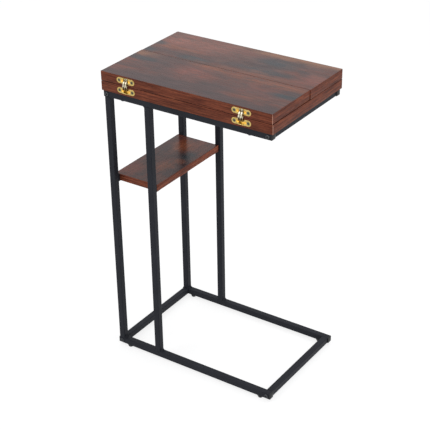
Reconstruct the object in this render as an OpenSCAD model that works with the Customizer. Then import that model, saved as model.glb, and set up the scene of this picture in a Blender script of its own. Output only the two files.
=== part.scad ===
// C-shaped side table with a fold-out top.
// A square steel tube frame carries one fixed board. Two leaves of about half its depth lie
// on it, each on a pair of concealed hinges in its long edge. Turned over outwards, they lie
// level with the fixed board and double the depth of the tabletop. A small shelf sits
// between the four uprights.
// X runs along the tabletop, Y across it, Z up. The floor is at z = 0.

/* [Tabletop] */
// Length of the fixed board along X
top_l = 400; // [360:1:500]
// Depth of the folded tabletop along Y
top_d = 260; // [240:1:360]
// Thickness of the fixed board and of each leaf
board_t = 20; // [19:0.5:24]
// Height of the folded tabletop above the floor
table_h = 652; // [550:1:760]
// Gap between the fixed board and the folded leaves
leaf_gap = 1; // [0.8:0.1:2]
// Gap between the two leaves
seam_gap = 0.6; // [0.3:0.1:1.5]
// Place of the seam between the leaves, behind the middle of the board
seam_y = 5; // [-10:0.5:10]
// How much shorter each leaf is than the fixed board
leaf_play = 1; // [0:0.1:2]
// Gap between the edges of a leaf and the board when the leaf is opened
edge_gap = 0.5; // [0.3:0.1:1]
// Thickness of the edge banding
band_t = 1; // [0.5:0.1:2]
// Hairline between two strips of edge banding at a corner
band_joint = 0.1; // [0.05:0.05:0.3]

/* [Frame] */
// Outer width of the square tube
tube = 13.5; // [12:0.1:16]
// Wall of the square tube
tube_wall = 1.2; // [1:0.1:1.6]
// Outer corner radius of the square tube
tube_r = 1.4; // [0.8:0.1:2]
// Distance from a long edge of the board to the rail below it
rail_inset = 1.5; // [0:0.5:10]
// Distance from an end of the board to the crossbar below it
cross_inset = 5; // [3:0.5:15]
// Pitch of the left and the inner uprights along X
upright_pitch = 97.5; // [80:0.5:130]
// Thickness of the domed head of a rail end cap
cap_t = 3; // [2:0.5:5]
// Length of the plug of an end cap inside its rail
cap_plug_l = 9; // [6:0.5:10]
// Leg of the weld between an upright and its rail
weld_leg = 3.5; // [2:0.1:4]
// Throat of that weld
weld_throat = 1.3; // [0.9:0.1:1.8]

/* [Shelf] */
// Height of the shelf's upper face above the floor
shelf_top_z = 419; // [250:1:500]
// How far the shelf reaches past the inner uprights' left faces
shelf_over = 9.5; // [8:0.5:12]
// Gap between the shelf and the front uprights
shelf_front_gap = 6; // [1:0.1:9]
// Gap between the shelf and the back uprights
shelf_back_gap = 1; // [1:0.1:9]
// Thickness of the shelf
shelf_t = 15; // [12:0.5:20]
// Thickness of the brackets' flanges under the shelf
flange_t = 1.5; // [1.5:0.1:2.5]
// Width of a shelf bracket along X
bracket_w = 8; // [7:0.5:9]
// Length of a bracket's flange from the upright
flange_d = 20; // [17:1:30]

/* [Hinges] */
// Place of the left hinges along X
hinge_left_x = -139; // [-142:1:-120]
// Place of the right hinges along X
hinge_right_x = 131; // [110:1:134]
// Distance from the board's face to the near edge of a hinge plate
plate_setback = 3.8; // [3:0.1:4.5]
// Distance between the two screws of a hinge plate
screw_pitch = 31; // [28:0.5:36]
// Thickness of a hinge plate
plate_t = 2.2; // [2:0.1:3]
// Rim of the plate beside the mouth
mouth_rim = 0.9; // [0.7:0.05:1.2]
// Side wall of the hinge cup
cup_side = 1.6; // [1.2:0.1:2.5]
// Back wall of the hinge cup
cup_back = 1.2; // [0.8:0.1:2]
// Upper and lower wall of the hinge cup
cup_rim = 0.6; // [0.4:0.05:0.65]
// Width of a link plate
link_w = 2.6; // [2.2:0.1:2.8]
// Clearance of the link plates in the mouth and beside the boards' edges
link_clear = 0.3; // [0.2:0.05:0.4]
// How much further out the link plates stand at rest than that clearance needs
link_stand = 0.1; // [0:0.05:0.3]
// Depth of the pivot pin behind the hinge axis
pivot_in = 1.75; // [1.5:0.05:2.2]
// Diameter of the pivot pin
pin_d = 1.6; // [1.2:0.1:1.8]
// Diameter of the rivet through the lower link plates
rivet_d = 1.4; // [1:0.1:1.5]
// Room of the rivet in the hooks of the upper link plates
rivet_play = 0.3; // [0.25:0.05:0.4]
// How far the hooks of the upper link plates end short of the rivet's centre
hook_trim = 0.4; // [0.3:0.05:0.5]
// How far the knuckle of the upper link plates stands out beyond the rivet
knuckle_run = 1.9; // [0.5:0.1:2.2]
// Corner radius of the upper link plates' tip inside the mouth
tip_r = 0.5; // [0.3:0.05:1.1]
// How far the toe of the lower link plates reaches up beyond the rivet
toe_run = 2; // [0.5:0.1:2.1]
// Corner radius of that toe
toe_r = 0.7; // [0.4:0.05:1.1]
// Half thickness of the middle lower link plate
mid_link_half = 1; // [0.8:0.05:1.1]
// Thickness of an upper link plate
bar_t = 2.8; // [2.4:0.1:2.9]
// Thickness of an outer lower link plate
side_link_t = 1.2; // [0.8:0.05:1.2]
// Gap between neighbouring link plates
link_gap = 0.2; // [0.1:0.02:0.2]

/* [Fasteners] */
// Shank diameter of the hinge screws
hinge_screw_d = 3; // [2.5:0.1:3.5]
// Head diameter of the hinge screws
hinge_screw_head_d = 6.6; // [5.5:0.1:7]
// Length of the hinge screws
hinge_screw_l = 14; // [10:0.5:18]
// Shank diameter of the frame bolts
bolt_d = 5; // [4:0.1:6]
// Head diameter of the frame bolts
bolt_head_d = 9; // [8:0.1:10]
// Head height of the frame bolts
bolt_head_h = 2.4; // [2:0.1:3]
// Depth of a frame bolt in the plug of its crossbar
bolt_bite = 10; // [6:0.5:14]
// Length of the threaded plug in a crossbar end
nut_plug_l = 12; // [8:0.5:20]
// Shank diameter of the tabletop screws
top_screw_d = 4; // [3.5:0.1:4.5]
// Head diameter of the tabletop screws
top_screw_head_d = 8; // [7:0.1:9]
// Head height of the tabletop screws
top_screw_head_h = 3; // [2:0.1:3.5]
// Depth of the tabletop screws in the board
top_screw_bite = 7; // [5:0.5:7.5]
// Place of the left tabletop screws along X
top_screw_left_x = -154; // [-170:1:-152]
// Place of the right tabletop screws along X
top_screw_right_x = 145; // [143:1:170]
// Shank diameter of the shelf screws
shelf_screw_d = 3; // [2.5:0.1:3.3]
// Depth of the shelf screws in the shelf
shelf_screw_bite = 10; // [6:0.5:11]

/* [Feet] */
// Height of a glide foot below the rail
foot_h = 6; // [4:0.5:10]
// Diameter of a glide foot under the rail
foot_d = 13; // [10:0.1:14]
// Diameter of a glide foot on the floor
foot_floor_d = 9.4; // [8:0.1:9.8]
// Diameter of the stem that holds a glide foot in the rail
foot_stem_d = 6; // [4:0.1:8]
// Place of the feet from the ends of the rails' tubes
foot_inset = 25; // [15:1:40]

/* [Fits] */
// Clearance of the hinge cups and plates in the boards
seat_fit = 0.1; // [0.05:0.01:0.15]
// Radial clearance of a link plate on its pin
run_fit = 0.06; // [0.03:0.01:0.09]
// Radial clearance of pins, screws and stems in their own holes
hold_fit = 0.03; // [0.02:0.01:0.05]
// Clearance of a plug in its tube
plug_fit = 0.05; // [0.03:0.01:0.1]
// Extra radius of the holes that bolts and screws pass through
pass_fit = 0.2; // [0.1:0.05:0.4]

/* [Hidden] */
$fn = 48;
eps = 1;

// Heights
leaf_top_z = table_h;
leaf_z = leaf_top_z - board_t;
board_z = leaf_z - leaf_gap - board_t;
top_rail_z = board_z - tube;
base_rail_z = foot_h;
upright_z = base_rail_z + tube;
upright_h = top_rail_z - upright_z;
shelf_z = shelf_top_z - shelf_t;
axis_z = leaf_z - leaf_gap / 2;

// Plan
half_l = top_l / 2;
half_d = top_d / 2;
rail_y = half_d - rail_inset;
inner_y = rail_y - tube;
rail_mid_y = rail_y - tube / 2;
frame_x = half_l - cross_inset;
cross_mid_x = frame_x - tube / 2;
inner_upright_x = -frame_x + upright_pitch;
shelf_l = upright_pitch + shelf_over;
shelf_front_y = inner_y - shelf_front_gap;
shelf_back_y = inner_y - shelf_back_gap;
shelf_d = shelf_front_y + shelf_back_y;
axis_y = half_d + edge_gap / 2;
leaf_l = top_l - leaf_play;
front_leaf_d = half_d + seam_y - seam_gap / 2;
back_leaf_d = half_d - seam_y - seam_gap / 2;
tube_inside = tube - 2 * tube_wall;
plug_side = tube_inside - 2 * plug_fit;

// Concealed hinge, measured from the hinge axis
edge_in = edge_gap / 2;
plate_near = leaf_gap / 2 + plate_setback;
mouth_near = plate_near + mouth_rim;
pivot_drop = mouth_near + link_clear + link_w / 2;
link_out = edge_in + link_clear + link_w / 2 + link_stand;
pivot_span = pivot_in + link_out;
link_square = pivot_span * pivot_span - pivot_in * pivot_in;
rivet_drop = pivot_drop + sqrt(pivot_drop * pivot_drop + link_square);
mouth_far = rivet_drop + link_clear + link_w / 2;
plate_w = mouth_far + mouth_rim - plate_near;
plate_mid = plate_near + plate_w / 2;
plate_l = screw_pitch + plate_w;
link_turn = atan2(pivot_drop, pivot_span) + atan2(rivet_drop - pivot_drop, pivot_in);
mouth_in = pivot_in - pivot_span * cos(link_turn) + link_w / 2 + link_clear;
cup_in = mouth_in + cup_back;
tip_reach = mouth_in - pivot_in - link_clear - tip_r;
tip_side = link_w / 2 - tip_r;
rivet_room = rivet_d / 2 + rivet_play;
cup_h = mouth_far - mouth_near + 2 * cup_rim;
bar_x = mid_link_half + link_gap;
side_link_x = bar_x + bar_t + link_gap;
link_stack_w = 2 * (side_link_x + side_link_t);
mouth_l = link_stack_w + 2 * link_clear;
cup_w = mouth_l + 2 * cup_side;
hinge_xs = [hinge_left_x, hinge_right_x];

// Feet, caps and fasteners
cap_dome_r = 1.4 * tube;
foot_x = frame_x - foot_inset;
foot_cone_h = 0.7 * foot_h;
bracket_xs = [-frame_x + (tube - bracket_w) / 2, inner_upright_x];
top_screw_xs = [top_screw_left_x, top_screw_right_x];
shelf_screw_head_d = 2 * shelf_screw_d;
shelf_screw_head_h = 0.6 * shelf_screw_d;
countersink_h = (hinge_screw_head_d - hinge_screw_d) / 2;
// Head shapes: width of a head's crown, of its recess and depth of the recess, as shares
crown_share = 0.65;
recess_share = 0.55;
recess_depth_share = 0.6;
// Width of a cross recess's slot over its span
slot_share = 0.2;

black = [0.16, 0.17, 0.19];
laminate = [0.40, 0.30, 0.28];
banding = [0.45, 0.20, 0.14];
brass = [0.80, 0.66, 0.36];
steel = [0.86, 0.84, 0.78];
plastic = [0.10, 0.10, 0.11];

// Placing

// Places a shape drawn at a hinge on both hinges of the front edge
module at_front_hinges() {
    for (x = hinge_xs) {
        translate([x, -axis_y, axis_z]) children();
    }
}

// The same on the back edge, facing backwards
module at_back_hinges() {
    for (x = hinge_xs) {
        translate([x, axis_y, axis_z]) rotate([0, 0, 180]) children();
    }
}

// Turns a shape drawn for the board below the hinge axis over to the leaf above it
module leaf_side() {
    mirror([0, 0, 1]) children();
}

// Repeats a shape at the four corners of the rails, mirrored left to right and front to back
module at_corners(x, y) {
    for (sx = [-1, 1], sy = [-1, 1]) {
        translate([sx * x, sy * y, 0]) scale_sign(sx, sy) children();
    }
}

// Mirrors a shape where a sign is negative
module scale_sign(sx, sy) {
    mirror([sx < 0 ? 1 : 0, 0, 0]) mirror([0, sy < 0 ? 1 : 0, 0]) children();
}

// Boards

// Core of a board, standing back from its edge banding
module board_core(l, d, t) {
    translate([-l / 2 + band_t, -d / 2 + band_t, 0]) cube([l - 2 * band_t, d - 2 * band_t, t]);
}

// Four strips of edge banding round a board, the long ones over the ends of the short ones
module board_bands(l, d, t) {
    for (s = [-1, 1]) {
        translate([-l / 2, s < 0 ? -d / 2 : d / 2 - band_t, 0]) cube([l, band_t, t]);
        translate([s < 0 ? -l / 2 : l / 2 - band_t, -d / 2 + band_t + band_joint, 0])
            cube([band_t, d - 2 * (band_t + band_joint), t]);
    }
}

// What a hinge takes out of the board below its axis
module hinge_seat() {
    plate_place() pill(plate_l + 2 * seat_fit, plate_w + 2 * seat_fit, plate_t + seat_fit, eps);
    translate([-cup_w / 2 - seat_fit, edge_in - eps, -plate_mid - cup_h / 2 - seat_fit])
        cube([cup_w + 2 * seat_fit, cup_in - edge_in + seat_fit + eps, cup_h + 2 * seat_fit]);
    for (s = [-1, 1]) {
        translate([s * screw_pitch / 2, edge_in, -plate_mid]) rotate([-90, 0, 0])
            cylinder(d = hinge_screw_d + 2 * hold_fit, h = hinge_screw_l + hold_fit);
    }
}

// Repeats a shape at the four tabletop screws
module at_top_screws() {
    for (x = top_screw_xs, s = [-1, 1]) {
        translate([x, s * rail_mid_y, 0]) children();
    }
}

module base_board() {
    color(laminate) difference() {
        translate([0, 0, board_z]) board_core(top_l, top_d, board_t);
        at_front_hinges() hinge_seat();
        at_back_hinges() hinge_seat();
        at_top_screws() translate([0, 0, board_z - eps])
            cylinder(d = top_screw_d + 2 * hold_fit, h = top_screw_bite + hold_fit + eps);
    }
}

module base_edge_bands() {
    color(banding) difference() {
        translate([0, 0, board_z]) board_bands(top_l, top_d, board_t);
        at_front_hinges() hinge_seat();
        at_back_hinges() hinge_seat();
    }
}

// Places a leaf of depth d: side is -1 in front and 1 at the back, pushed the same way along X
module leaf_place(side, d) {
    translate([side * leaf_play / 2, side * (half_d - d / 2), leaf_z]) children();
}

module front_leaf_board() {
    color(laminate) difference() {
        leaf_place(-1, front_leaf_d) board_core(leaf_l, front_leaf_d, board_t);
        at_front_hinges() leaf_side() hinge_seat();
    }
}

module front_leaf_edge_bands() {
    color(banding) difference() {
        leaf_place(-1, front_leaf_d) board_bands(leaf_l, front_leaf_d, board_t);
        at_front_hinges() leaf_side() hinge_seat();
    }
}

module back_leaf_board() {
    color(laminate) difference() {
        leaf_place(1, back_leaf_d) board_core(leaf_l, back_leaf_d, board_t);
        at_back_hinges() leaf_side() hinge_seat();
    }
}

module back_leaf_edge_bands() {
    color(banding) difference() {
        leaf_place(1, back_leaf_d) board_bands(leaf_l, back_leaf_d, board_t);
        at_back_hinges() leaf_side() hinge_seat();
    }
}

// Shelf

module shelf_place() {
    translate([-frame_x + shelf_l / 2, (shelf_back_y - shelf_front_y) / 2, shelf_z]) children();
}

// Repeats a shape at the four bracket screws, midway along what each flange holds of the shelf
module at_bracket_screws() {
    for (x = bracket_xs) {
        translate([x + bracket_w / 2, (flange_d + shelf_front_gap) / 2 - inner_y, 0]) children();
        translate([x + bracket_w / 2, inner_y - (flange_d + shelf_back_gap) / 2, 0]) children();
    }
}

module shelf_board() {
    color(laminate) difference() {
        shelf_place() board_core(shelf_l, shelf_d, shelf_t);
        at_bracket_screws() translate([0, 0, shelf_z - eps])
            cylinder(d = shelf_screw_d + 2 * hold_fit, h = shelf_screw_bite + hold_fit + eps);
    }
}

module shelf_edge_bands() {
    color(banding) shelf_place() board_bands(shelf_l, shelf_d, shelf_t);
}

// Bracket drawn for the inner face of a front upright: a block that fills the gap to the shelf
// and a flange below it
module shelf_bracket(gap) {
    translate([0, 0, shelf_z - flange_t]) {
        cube([bracket_w, gap, flange_t + shelf_t]);
        cube([bracket_w, flange_d, flange_t]);
    }
}

module shelf_brackets() {
    color(black) difference() {
        for (x = bracket_xs) {
            translate([x, -inner_y, 0]) shelf_bracket(shelf_front_gap);
            translate([x, inner_y, 0]) mirror([0, 1, 0]) shelf_bracket(shelf_back_gap);
        }
        at_bracket_screws() translate([0, 0, shelf_z - flange_t - eps])
            cylinder(d = shelf_screw_d + 2 * pass_fit, h = flange_t + 2 * eps);
    }
}

module shelf_screws() {
    color(plastic) at_bracket_screws() translate([0, 0, shelf_z - flange_t])
        pan_screw(shelf_screw_d, shelf_screw_head_d, shelf_screw_head_h, flange_t + shelf_screw_bite);
}

// Frame

// Outline of a square with round corners
module round_square(side, r) {
    square([side - 2 * r, side], center = true);
    square([side, side - 2 * r], center = true);
    for (sx = [-1, 1], sy = [-1, 1]) {
        translate([sx * (side / 2 - r), sy * (side / 2 - r)]) circle(r = r);
    }
}

// Length of square tube standing on z = 0
module tube_length(l) {
    linear_extrude(l) difference() {
        round_square(tube, tube_r);
        square(tube_inside, center = true);
    }
}

module tube_along_x(l) {
    rotate([0, 90, 0]) tube_length(l);
}

module tube_along_y(l) {
    rotate([-90, 0, 0]) tube_length(l);
}

// Holes for the crossbar bolts through both walls of a rail
module rail_bolt_holes(side, z) {
    for (sx = [-1, 1]) {
        translate([sx * cross_mid_x, side * rail_mid_y, z + tube / 2]) rotate([90, 0, 0])
            cylinder(d = bolt_d + 2 * pass_fit, h = tube + 2 * eps, center = true);
    }
}

module rail_tube(side, z) {
    translate([-frame_x, side * rail_mid_y, z + tube / 2]) tube_along_x(2 * frame_x);
}

module base_rail(side) {
    color(black) difference() {
        rail_tube(side, base_rail_z);
        rail_bolt_holes(side, base_rail_z);
        for (sx = [-1, 1]) {
            translate([sx * foot_x, side * rail_mid_y, base_rail_z - eps])
                cylinder(d = foot_stem_d + 2 * hold_fit, h = tube_wall + 2 * eps);
        }
    }
}

module top_rail(side) {
    color(black) difference() {
        rail_tube(side, top_rail_z);
        rail_bolt_holes(side, top_rail_z);
        at_top_screws() translate([0, 0, top_rail_z - eps])
            cylinder(d = top_screw_d + 2 * pass_fit, h = tube + 2 * eps);
    }
}

module crossbar(side, z) {
    color(black) translate([side * cross_mid_x, -inner_y, z + tube / 2]) tube_along_y(2 * inner_y);
}

module upright(left_x, side) {
    color(black) translate([left_x + tube / 2, side * rail_mid_y, upright_z]) tube_length(upright_h);
}

module front_base_rail() { base_rail(-1); }
module back_base_rail() { base_rail(1); }
module front_top_rail() { top_rail(-1); }
module back_top_rail() { top_rail(1); }
module left_base_crossbar() { crossbar(-1, base_rail_z); }
module right_base_crossbar() { crossbar(1, base_rail_z); }
module left_top_crossbar() { crossbar(-1, top_rail_z); }
module right_top_crossbar() { crossbar(1, top_rail_z); }
module front_left_upright() { upright(-frame_x, -1); }
module front_inner_upright() { upright(inner_upright_x, -1); }
module back_left_upright() { upright(-frame_x, 1); }
module back_inner_upright() { upright(inner_upright_x, 1); }

// Weld drawn for an upright's right face and the rail below it, along the flat of the tube
module weld() {
    flat = tube - 2 * tube_r;
    rotate([90, 0, 0]) linear_extrude(flat, center = true)
        polygon([[0, 0], [weld_leg, 0], [weld_throat, weld_throat], [0, weld_leg]]);
}

// Welds to the right of each upright's foot
module base_welds() {
    color(black) for (x = [-frame_x, inner_upright_x], s = [-1, 1]) {
        translate([x + tube, s * rail_mid_y, upright_z]) weld();
    }
}

// Welds to the left of each inner upright's head
module top_welds() {
    color(black) for (s = [-1, 1]) {
        translate([inner_upright_x, s * rail_mid_y, top_rail_z]) rotate([0, 180, 0]) weld();
    }
}

// Plug with a domed head that closes the end of a rail, drawn for an end that faces +X.
// The plug is forked round the crossbar's bolt.
module end_cap() {
    bolt_slot = bolt_d + 2 * pass_fit;
    difference() {
        translate([-cap_plug_l, -plug_side / 2, -plug_side / 2])
            cube([cap_plug_l, plug_side, plug_side]);
        translate([-tube / 2, 0, 0]) rotate([90, 0, 0])
            cylinder(d = bolt_slot, h = plug_side + 2 * eps, center = true);
        translate([-cap_plug_l - eps, -plug_side / 2 - eps, -bolt_slot / 2])
            cube([cap_plug_l - tube / 2 + eps, plug_side + 2 * eps, bolt_slot]);
    }
    intersection() {
        rotate([0, 90, 0]) linear_extrude(cap_t) round_square(tube, tube_r);
        translate([cap_t - cap_dome_r, 0, 0]) sphere(r = cap_dome_r);
    }
}

module rail_end_caps(z) {
    color(plastic) at_corners(frame_x, rail_mid_y) translate([0, 0, z + tube / 2]) end_cap();
}

module base_rail_end_caps() { rail_end_caps(base_rail_z); }
module top_rail_end_caps() { rail_end_caps(top_rail_z); }

// Push-in glide, wider above than where it meets the floor
module glide_feet() {
    color(plastic) at_corners(foot_x, rail_mid_y) {
        cylinder(d1 = foot_floor_d, d2 = foot_d, h = foot_cone_h);
        translate([0, 0, foot_cone_h]) cylinder(d = foot_d, h = foot_h - foot_cone_h);
        translate([0, 0, foot_h]) cylinder(d = foot_stem_d, h = tube - tube_wall);
    }
}

// Fasteners

// Screw or bolt head below z = 0, its sides straight in the upper half
module round_head(head_d, head_h) {
    translate([0, 0, -head_h / 2]) cylinder(d = head_d, h = head_h / 2);
    translate([0, 0, -head_h]) cylinder(d1 = crown_share * head_d, d2 = head_d, h = head_h / 2);
}

// Pan-head screw, head below z = 0 and shank above it
module pan_screw(d, head_d, head_h, l) {
    cylinder(d = d, h = l);
    difference() {
        round_head(head_d, head_h);
        cross_recess(recess_share * head_d, -head_h - eps, recess_depth_share * head_h + eps);
    }
}

// Cross-shaped recess as wide as span, from z up by h
module cross_recess(span, z, h) {
    slot = slot_share * span;
    for (turn = [0, 90]) {
        rotate(turn) translate([-span / 2, -slot / 2, z]) cube([span, slot, h]);
    }
}

// Button-head bolt along +Y through a rail into the plug of a crossbar
module frame_bolt() {
    rotate([-90, 0, 0]) {
        cylinder(d = bolt_d, h = tube + bolt_bite);
        difference() {
            round_head(bolt_head_d, bolt_head_h);
            translate([0, 0, -bolt_head_h - eps])
                cylinder(d = crown_share * bolt_d, h = recess_depth_share * bolt_head_h + eps, $fn = 6);
        }
    }
}

// Repeats a shape drawn at the outer face of a front rail at all eight crossbar ends
module at_crossbar_ends() {
    for (z = [base_rail_z, top_rail_z]) {
        at_corners(cross_mid_x, rail_y) translate([0, 0, z + tube / 2]) mirror([0, 1, 0]) children();
    }
}

module frame_bolts() {
    color(plastic) at_crossbar_ends() frame_bolt();
}

module crossbar_nut_plugs() {
    color(steel) at_crossbar_ends() translate([0, tube, 0]) rotate([-90, 0, 0]) difference() {
        translate([-plug_side / 2, -plug_side / 2, 0]) cube([plug_side, plug_side, nut_plug_l]);
        translate([0, 0, -eps]) cylinder(d = bolt_d + 2 * hold_fit, h = nut_plug_l + 2 * eps);
    }
}

module tabletop_screws() {
    color(plastic) at_top_screws() translate([0, 0, top_rail_z])
        pan_screw(top_screw_d, top_screw_head_d, top_screw_head_h, tube + top_screw_bite);
}

// Concealed hinges, drawn for the board below the hinge axis with the outside towards -Y

// Turns a shape drawn on z = 0 to lie in the board's edge, its thickness going in along +Y
module plate_place() {
    translate([0, edge_in, -plate_mid]) rotate([-90, 0, 0]) children();
}

// Flat bar with round ends, from z = -under up to z = t
module pill(l, w, t, under) {
    translate([0, 0, -under]) linear_extrude(t + under) {
        square([l - w, w], center = true);
        for (s = [-1, 1]) {
            translate([s * (l - w) / 2, 0]) circle(d = w);
        }
    }
}

// Countersunk screw hole through a plate, its face at z = 0
module countersink() {
    translate([0, 0, -eps]) cylinder(d = hinge_screw_d + 2 * pass_fit, h = plate_t + 2 * eps);
    cylinder(
        d1 = hinge_screw_head_d + 2 * hold_fit, d2 = hinge_screw_d + 2 * hold_fit, h = countersink_h
    );
    translate([0, 0, -eps]) cylinder(d = hinge_screw_head_d + 2 * hold_fit, h = eps);
}

module hinge_cup() {
    difference() {
        union() {
            plate_place() pill(plate_l, plate_w, plate_t, 0);
            translate([-cup_w / 2, edge_in + plate_t / 2, -plate_mid - cup_h / 2])
                cube([cup_w, cup_in - edge_in - plate_t / 2, cup_h]);
        }
        translate([-mouth_l / 2, edge_in - eps, -mouth_far])
            cube([mouth_l, mouth_in - edge_in + eps, mouth_far - mouth_near]);
        pivot_hole(pin_d + 2 * hold_fit);
        for (s = [-1, 1]) {
            plate_place() translate([s * screw_pitch / 2, 0, 0]) countersink();
        }
    }
}

module pivot_hole(d) {
    translate([0, pivot_in, -pivot_drop]) rotate([0, 90, 0])
        cylinder(d = d, h = cup_w + 2 * eps, center = true);
}

module hinge_pin() {
    translate([0, pivot_in, -pivot_drop]) rotate([0, 90, 0])
        cylinder(d = pin_d, h = cup_w, center = true);
}

module hinge_screws() {
    for (s = [-1, 1]) {
        plate_place() translate([s * screw_pitch / 2, 0, 0]) difference() {
            union() {
                cylinder(d1 = hinge_screw_head_d, d2 = hinge_screw_d, h = countersink_h);
                cylinder(d = hinge_screw_d, h = hinge_screw_l);
            }
            cross_recess(
                recess_share * hinge_screw_head_d, -eps, recess_depth_share * countersink_h + eps
            );
        }
    }
}

// Straight leg of a link between two points of its outline
module link_leg(from, to) {
    run = to - from;
    translate(from) rotate(atan2(run[1], run[0])) translate([0, -link_w / 2])
        square([norm(run), link_w]);
    translate(from) circle(d = link_w);
    translate(to) circle(d = link_w);
}

// Corners of the link outlines in the YZ plane
pin_at = [pivot_in, -pivot_drop];
elbow_at = [-link_out, -pivot_drop];
rivet_at = [-link_out, 0];

// Places children from a point of a link, along the directions they have when the leaf is open
module when_open(from, shift) {
    translate(from) rotate(-link_turn) translate(shift) children();
}

// Outline of a link: out from its pin, then up past the board's edge, and its own additions
module link_outline() {
    difference() {
        union() {
            link_leg(pin_at, elbow_at);
            link_leg(elbow_at, rivet_at);
            children();
        }
        translate(pin_at) circle(d = pin_d + 2 * run_fit);
    }
}

// Addition to a lower plate: a toe that reaches up past the rivet
module link_toe() {
    hull() {
        translate(rivet_at) circle(d = link_w);
        when_open(rivet_at, [-toe_run, toe_r - link_w / 2]) circle(r = toe_r);
    }
}

// Additions to an upper plate: a knuckle beyond the rivet and a tip inside the mouth, both
// as far as the opened leaf lets them reach
module link_knuckle() {
    for (near_at = [rivet_at, elbow_at]) {
        hull() {
            translate(near_at) circle(d = link_w);
            when_open(rivet_at, [knuckle_run, 0]) circle(d = link_w);
        }
    }
}

module link_tip() {
    hull() {
        translate(pin_at) circle(d = link_w);
        translate(elbow_at) circle(d = link_w);
        when_open(pin_at, [sqrt(tip_reach * tip_reach - tip_side * tip_side), tip_side])
            circle(r = tip_r);
    }
}

// Plate of thickness t with the outline given as children, starting at x
module link_plate(x, t) {
    translate([x, 0, 0]) rotate([90, 0, 90]) linear_extrude(t) children();
}

// Three plates on the board's pin, held together by the rivet
module lower_links() {
    for (layer = [
        [-mid_link_half, 2 * mid_link_half],
        [side_link_x, side_link_t],
        [-side_link_x - side_link_t, side_link_t]
    ]) {
        link_plate(layer[0], layer[1]) difference() {
            link_outline() link_toe();
            translate(rivet_at) circle(d = rivet_d + 2 * hold_fit);
        }
    }
}

module link_rivet() {
    translate([0, -link_out, 0]) rotate([0, 90, 0])
        cylinder(d = rivet_d, h = link_stack_w, center = true);
}

// Two plates on the leaf's pin. Each ends in an open hook that seats on the rivet at both
// ends of the travel and leaves it in between.
module upper_links() {
    for (x = [bar_x, -bar_x - bar_t]) {
        link_plate(x, bar_t) difference() {
            link_outline() {
                link_knuckle();
                link_tip();
            }
            translate([-link_out - rivet_room, -hook_trim]) square([2 * link_w, link_w]);
            translate(rivet_at) circle(r = rivet_room);
        }
    }
}

module front_board_hinge_cups() { color(brass) at_front_hinges() hinge_cup(); }
module front_leaf_hinge_cups() { color(brass) at_front_hinges() leaf_side() hinge_cup(); }
module front_board_hinge_screws() { color(steel) at_front_hinges() hinge_screws(); }
module front_leaf_hinge_screws() { color(steel) at_front_hinges() leaf_side() hinge_screws(); }
module front_board_hinge_pins() { color(steel) at_front_hinges() hinge_pin(); }
module front_leaf_hinge_pins() { color(steel) at_front_hinges() leaf_side() hinge_pin(); }
module front_lower_link_plates() { color(steel) at_front_hinges() lower_links(); }
module front_link_rivets() { color(steel) at_front_hinges() link_rivet(); }
module front_upper_link_plates() { color(steel) at_front_hinges() leaf_side() upper_links(); }

module back_board_hinge_cups() { color(brass) at_back_hinges() hinge_cup(); }
module back_leaf_hinge_cups() { color(brass) at_back_hinges() leaf_side() hinge_cup(); }
module back_board_hinge_screws() { color(steel) at_back_hinges() hinge_screws(); }
module back_leaf_hinge_screws() { color(steel) at_back_hinges() leaf_side() hinge_screws(); }
module back_board_hinge_pins() { color(steel) at_back_hinges() hinge_pin(); }
module back_leaf_hinge_pins() { color(steel) at_back_hinges() leaf_side() hinge_pin(); }
module back_lower_link_plates() { color(steel) at_back_hinges() lower_links(); }
module back_link_rivets() { color(steel) at_back_hinges() link_rivet(); }
module back_upper_link_plates() { color(steel) at_back_hinges() leaf_side() upper_links(); }

base_board();
base_edge_bands();
front_leaf_board();
front_leaf_edge_bands();
back_leaf_board();
back_leaf_edge_bands();
shelf_board();
shelf_edge_bands();
front_base_rail();
back_base_rail();
left_base_crossbar();
right_base_crossbar();
front_top_rail();
back_top_rail();
left_top_crossbar();
right_top_crossbar();
front_left_upright();
front_inner_upright();
back_left_upright();
back_inner_upright();
base_welds();
top_welds();
base_rail_end_caps();
top_rail_end_caps();
glide_feet();
frame_bolts();
crossbar_nut_plugs();
tabletop_screws();
shelf_brackets();
shelf_screws();
front_board_hinge_cups();
front_leaf_hinge_cups();
front_board_hinge_screws();
front_leaf_hinge_screws();
front_board_hinge_pins();
front_leaf_hinge_pins();
front_lower_link_plates();
front_link_rivets();
front_upper_link_plates();
back_board_hinge_cups();
back_leaf_hinge_cups();
back_board_hinge_screws();
back_leaf_hinge_screws();
back_board_hinge_pins();
back_leaf_hinge_pins();
back_lower_link_plates();
back_link_rivets();
back_upper_link_plates();
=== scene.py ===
# %% [markdown]
# # A c-shaped side table with a fold-out top
# The table is a frame of black square steel tube that carries one fixed board. Two leaves lie
# folded on that board, each on a pair of concealed brass hinges. A small shelf sits between
# the four uprights. Every part exists already as plain CAD geometry, with its joints. This
# lesson loads it as a fixed frame and dresses it: the tubes keep their CAD shape and get a
# finish, and what needs soft edges, screw recesses or rounded rims is modelled again here,
# in the same place and at the same size.

import math

import bpy
from mathutils import Matrix, Vector


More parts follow.
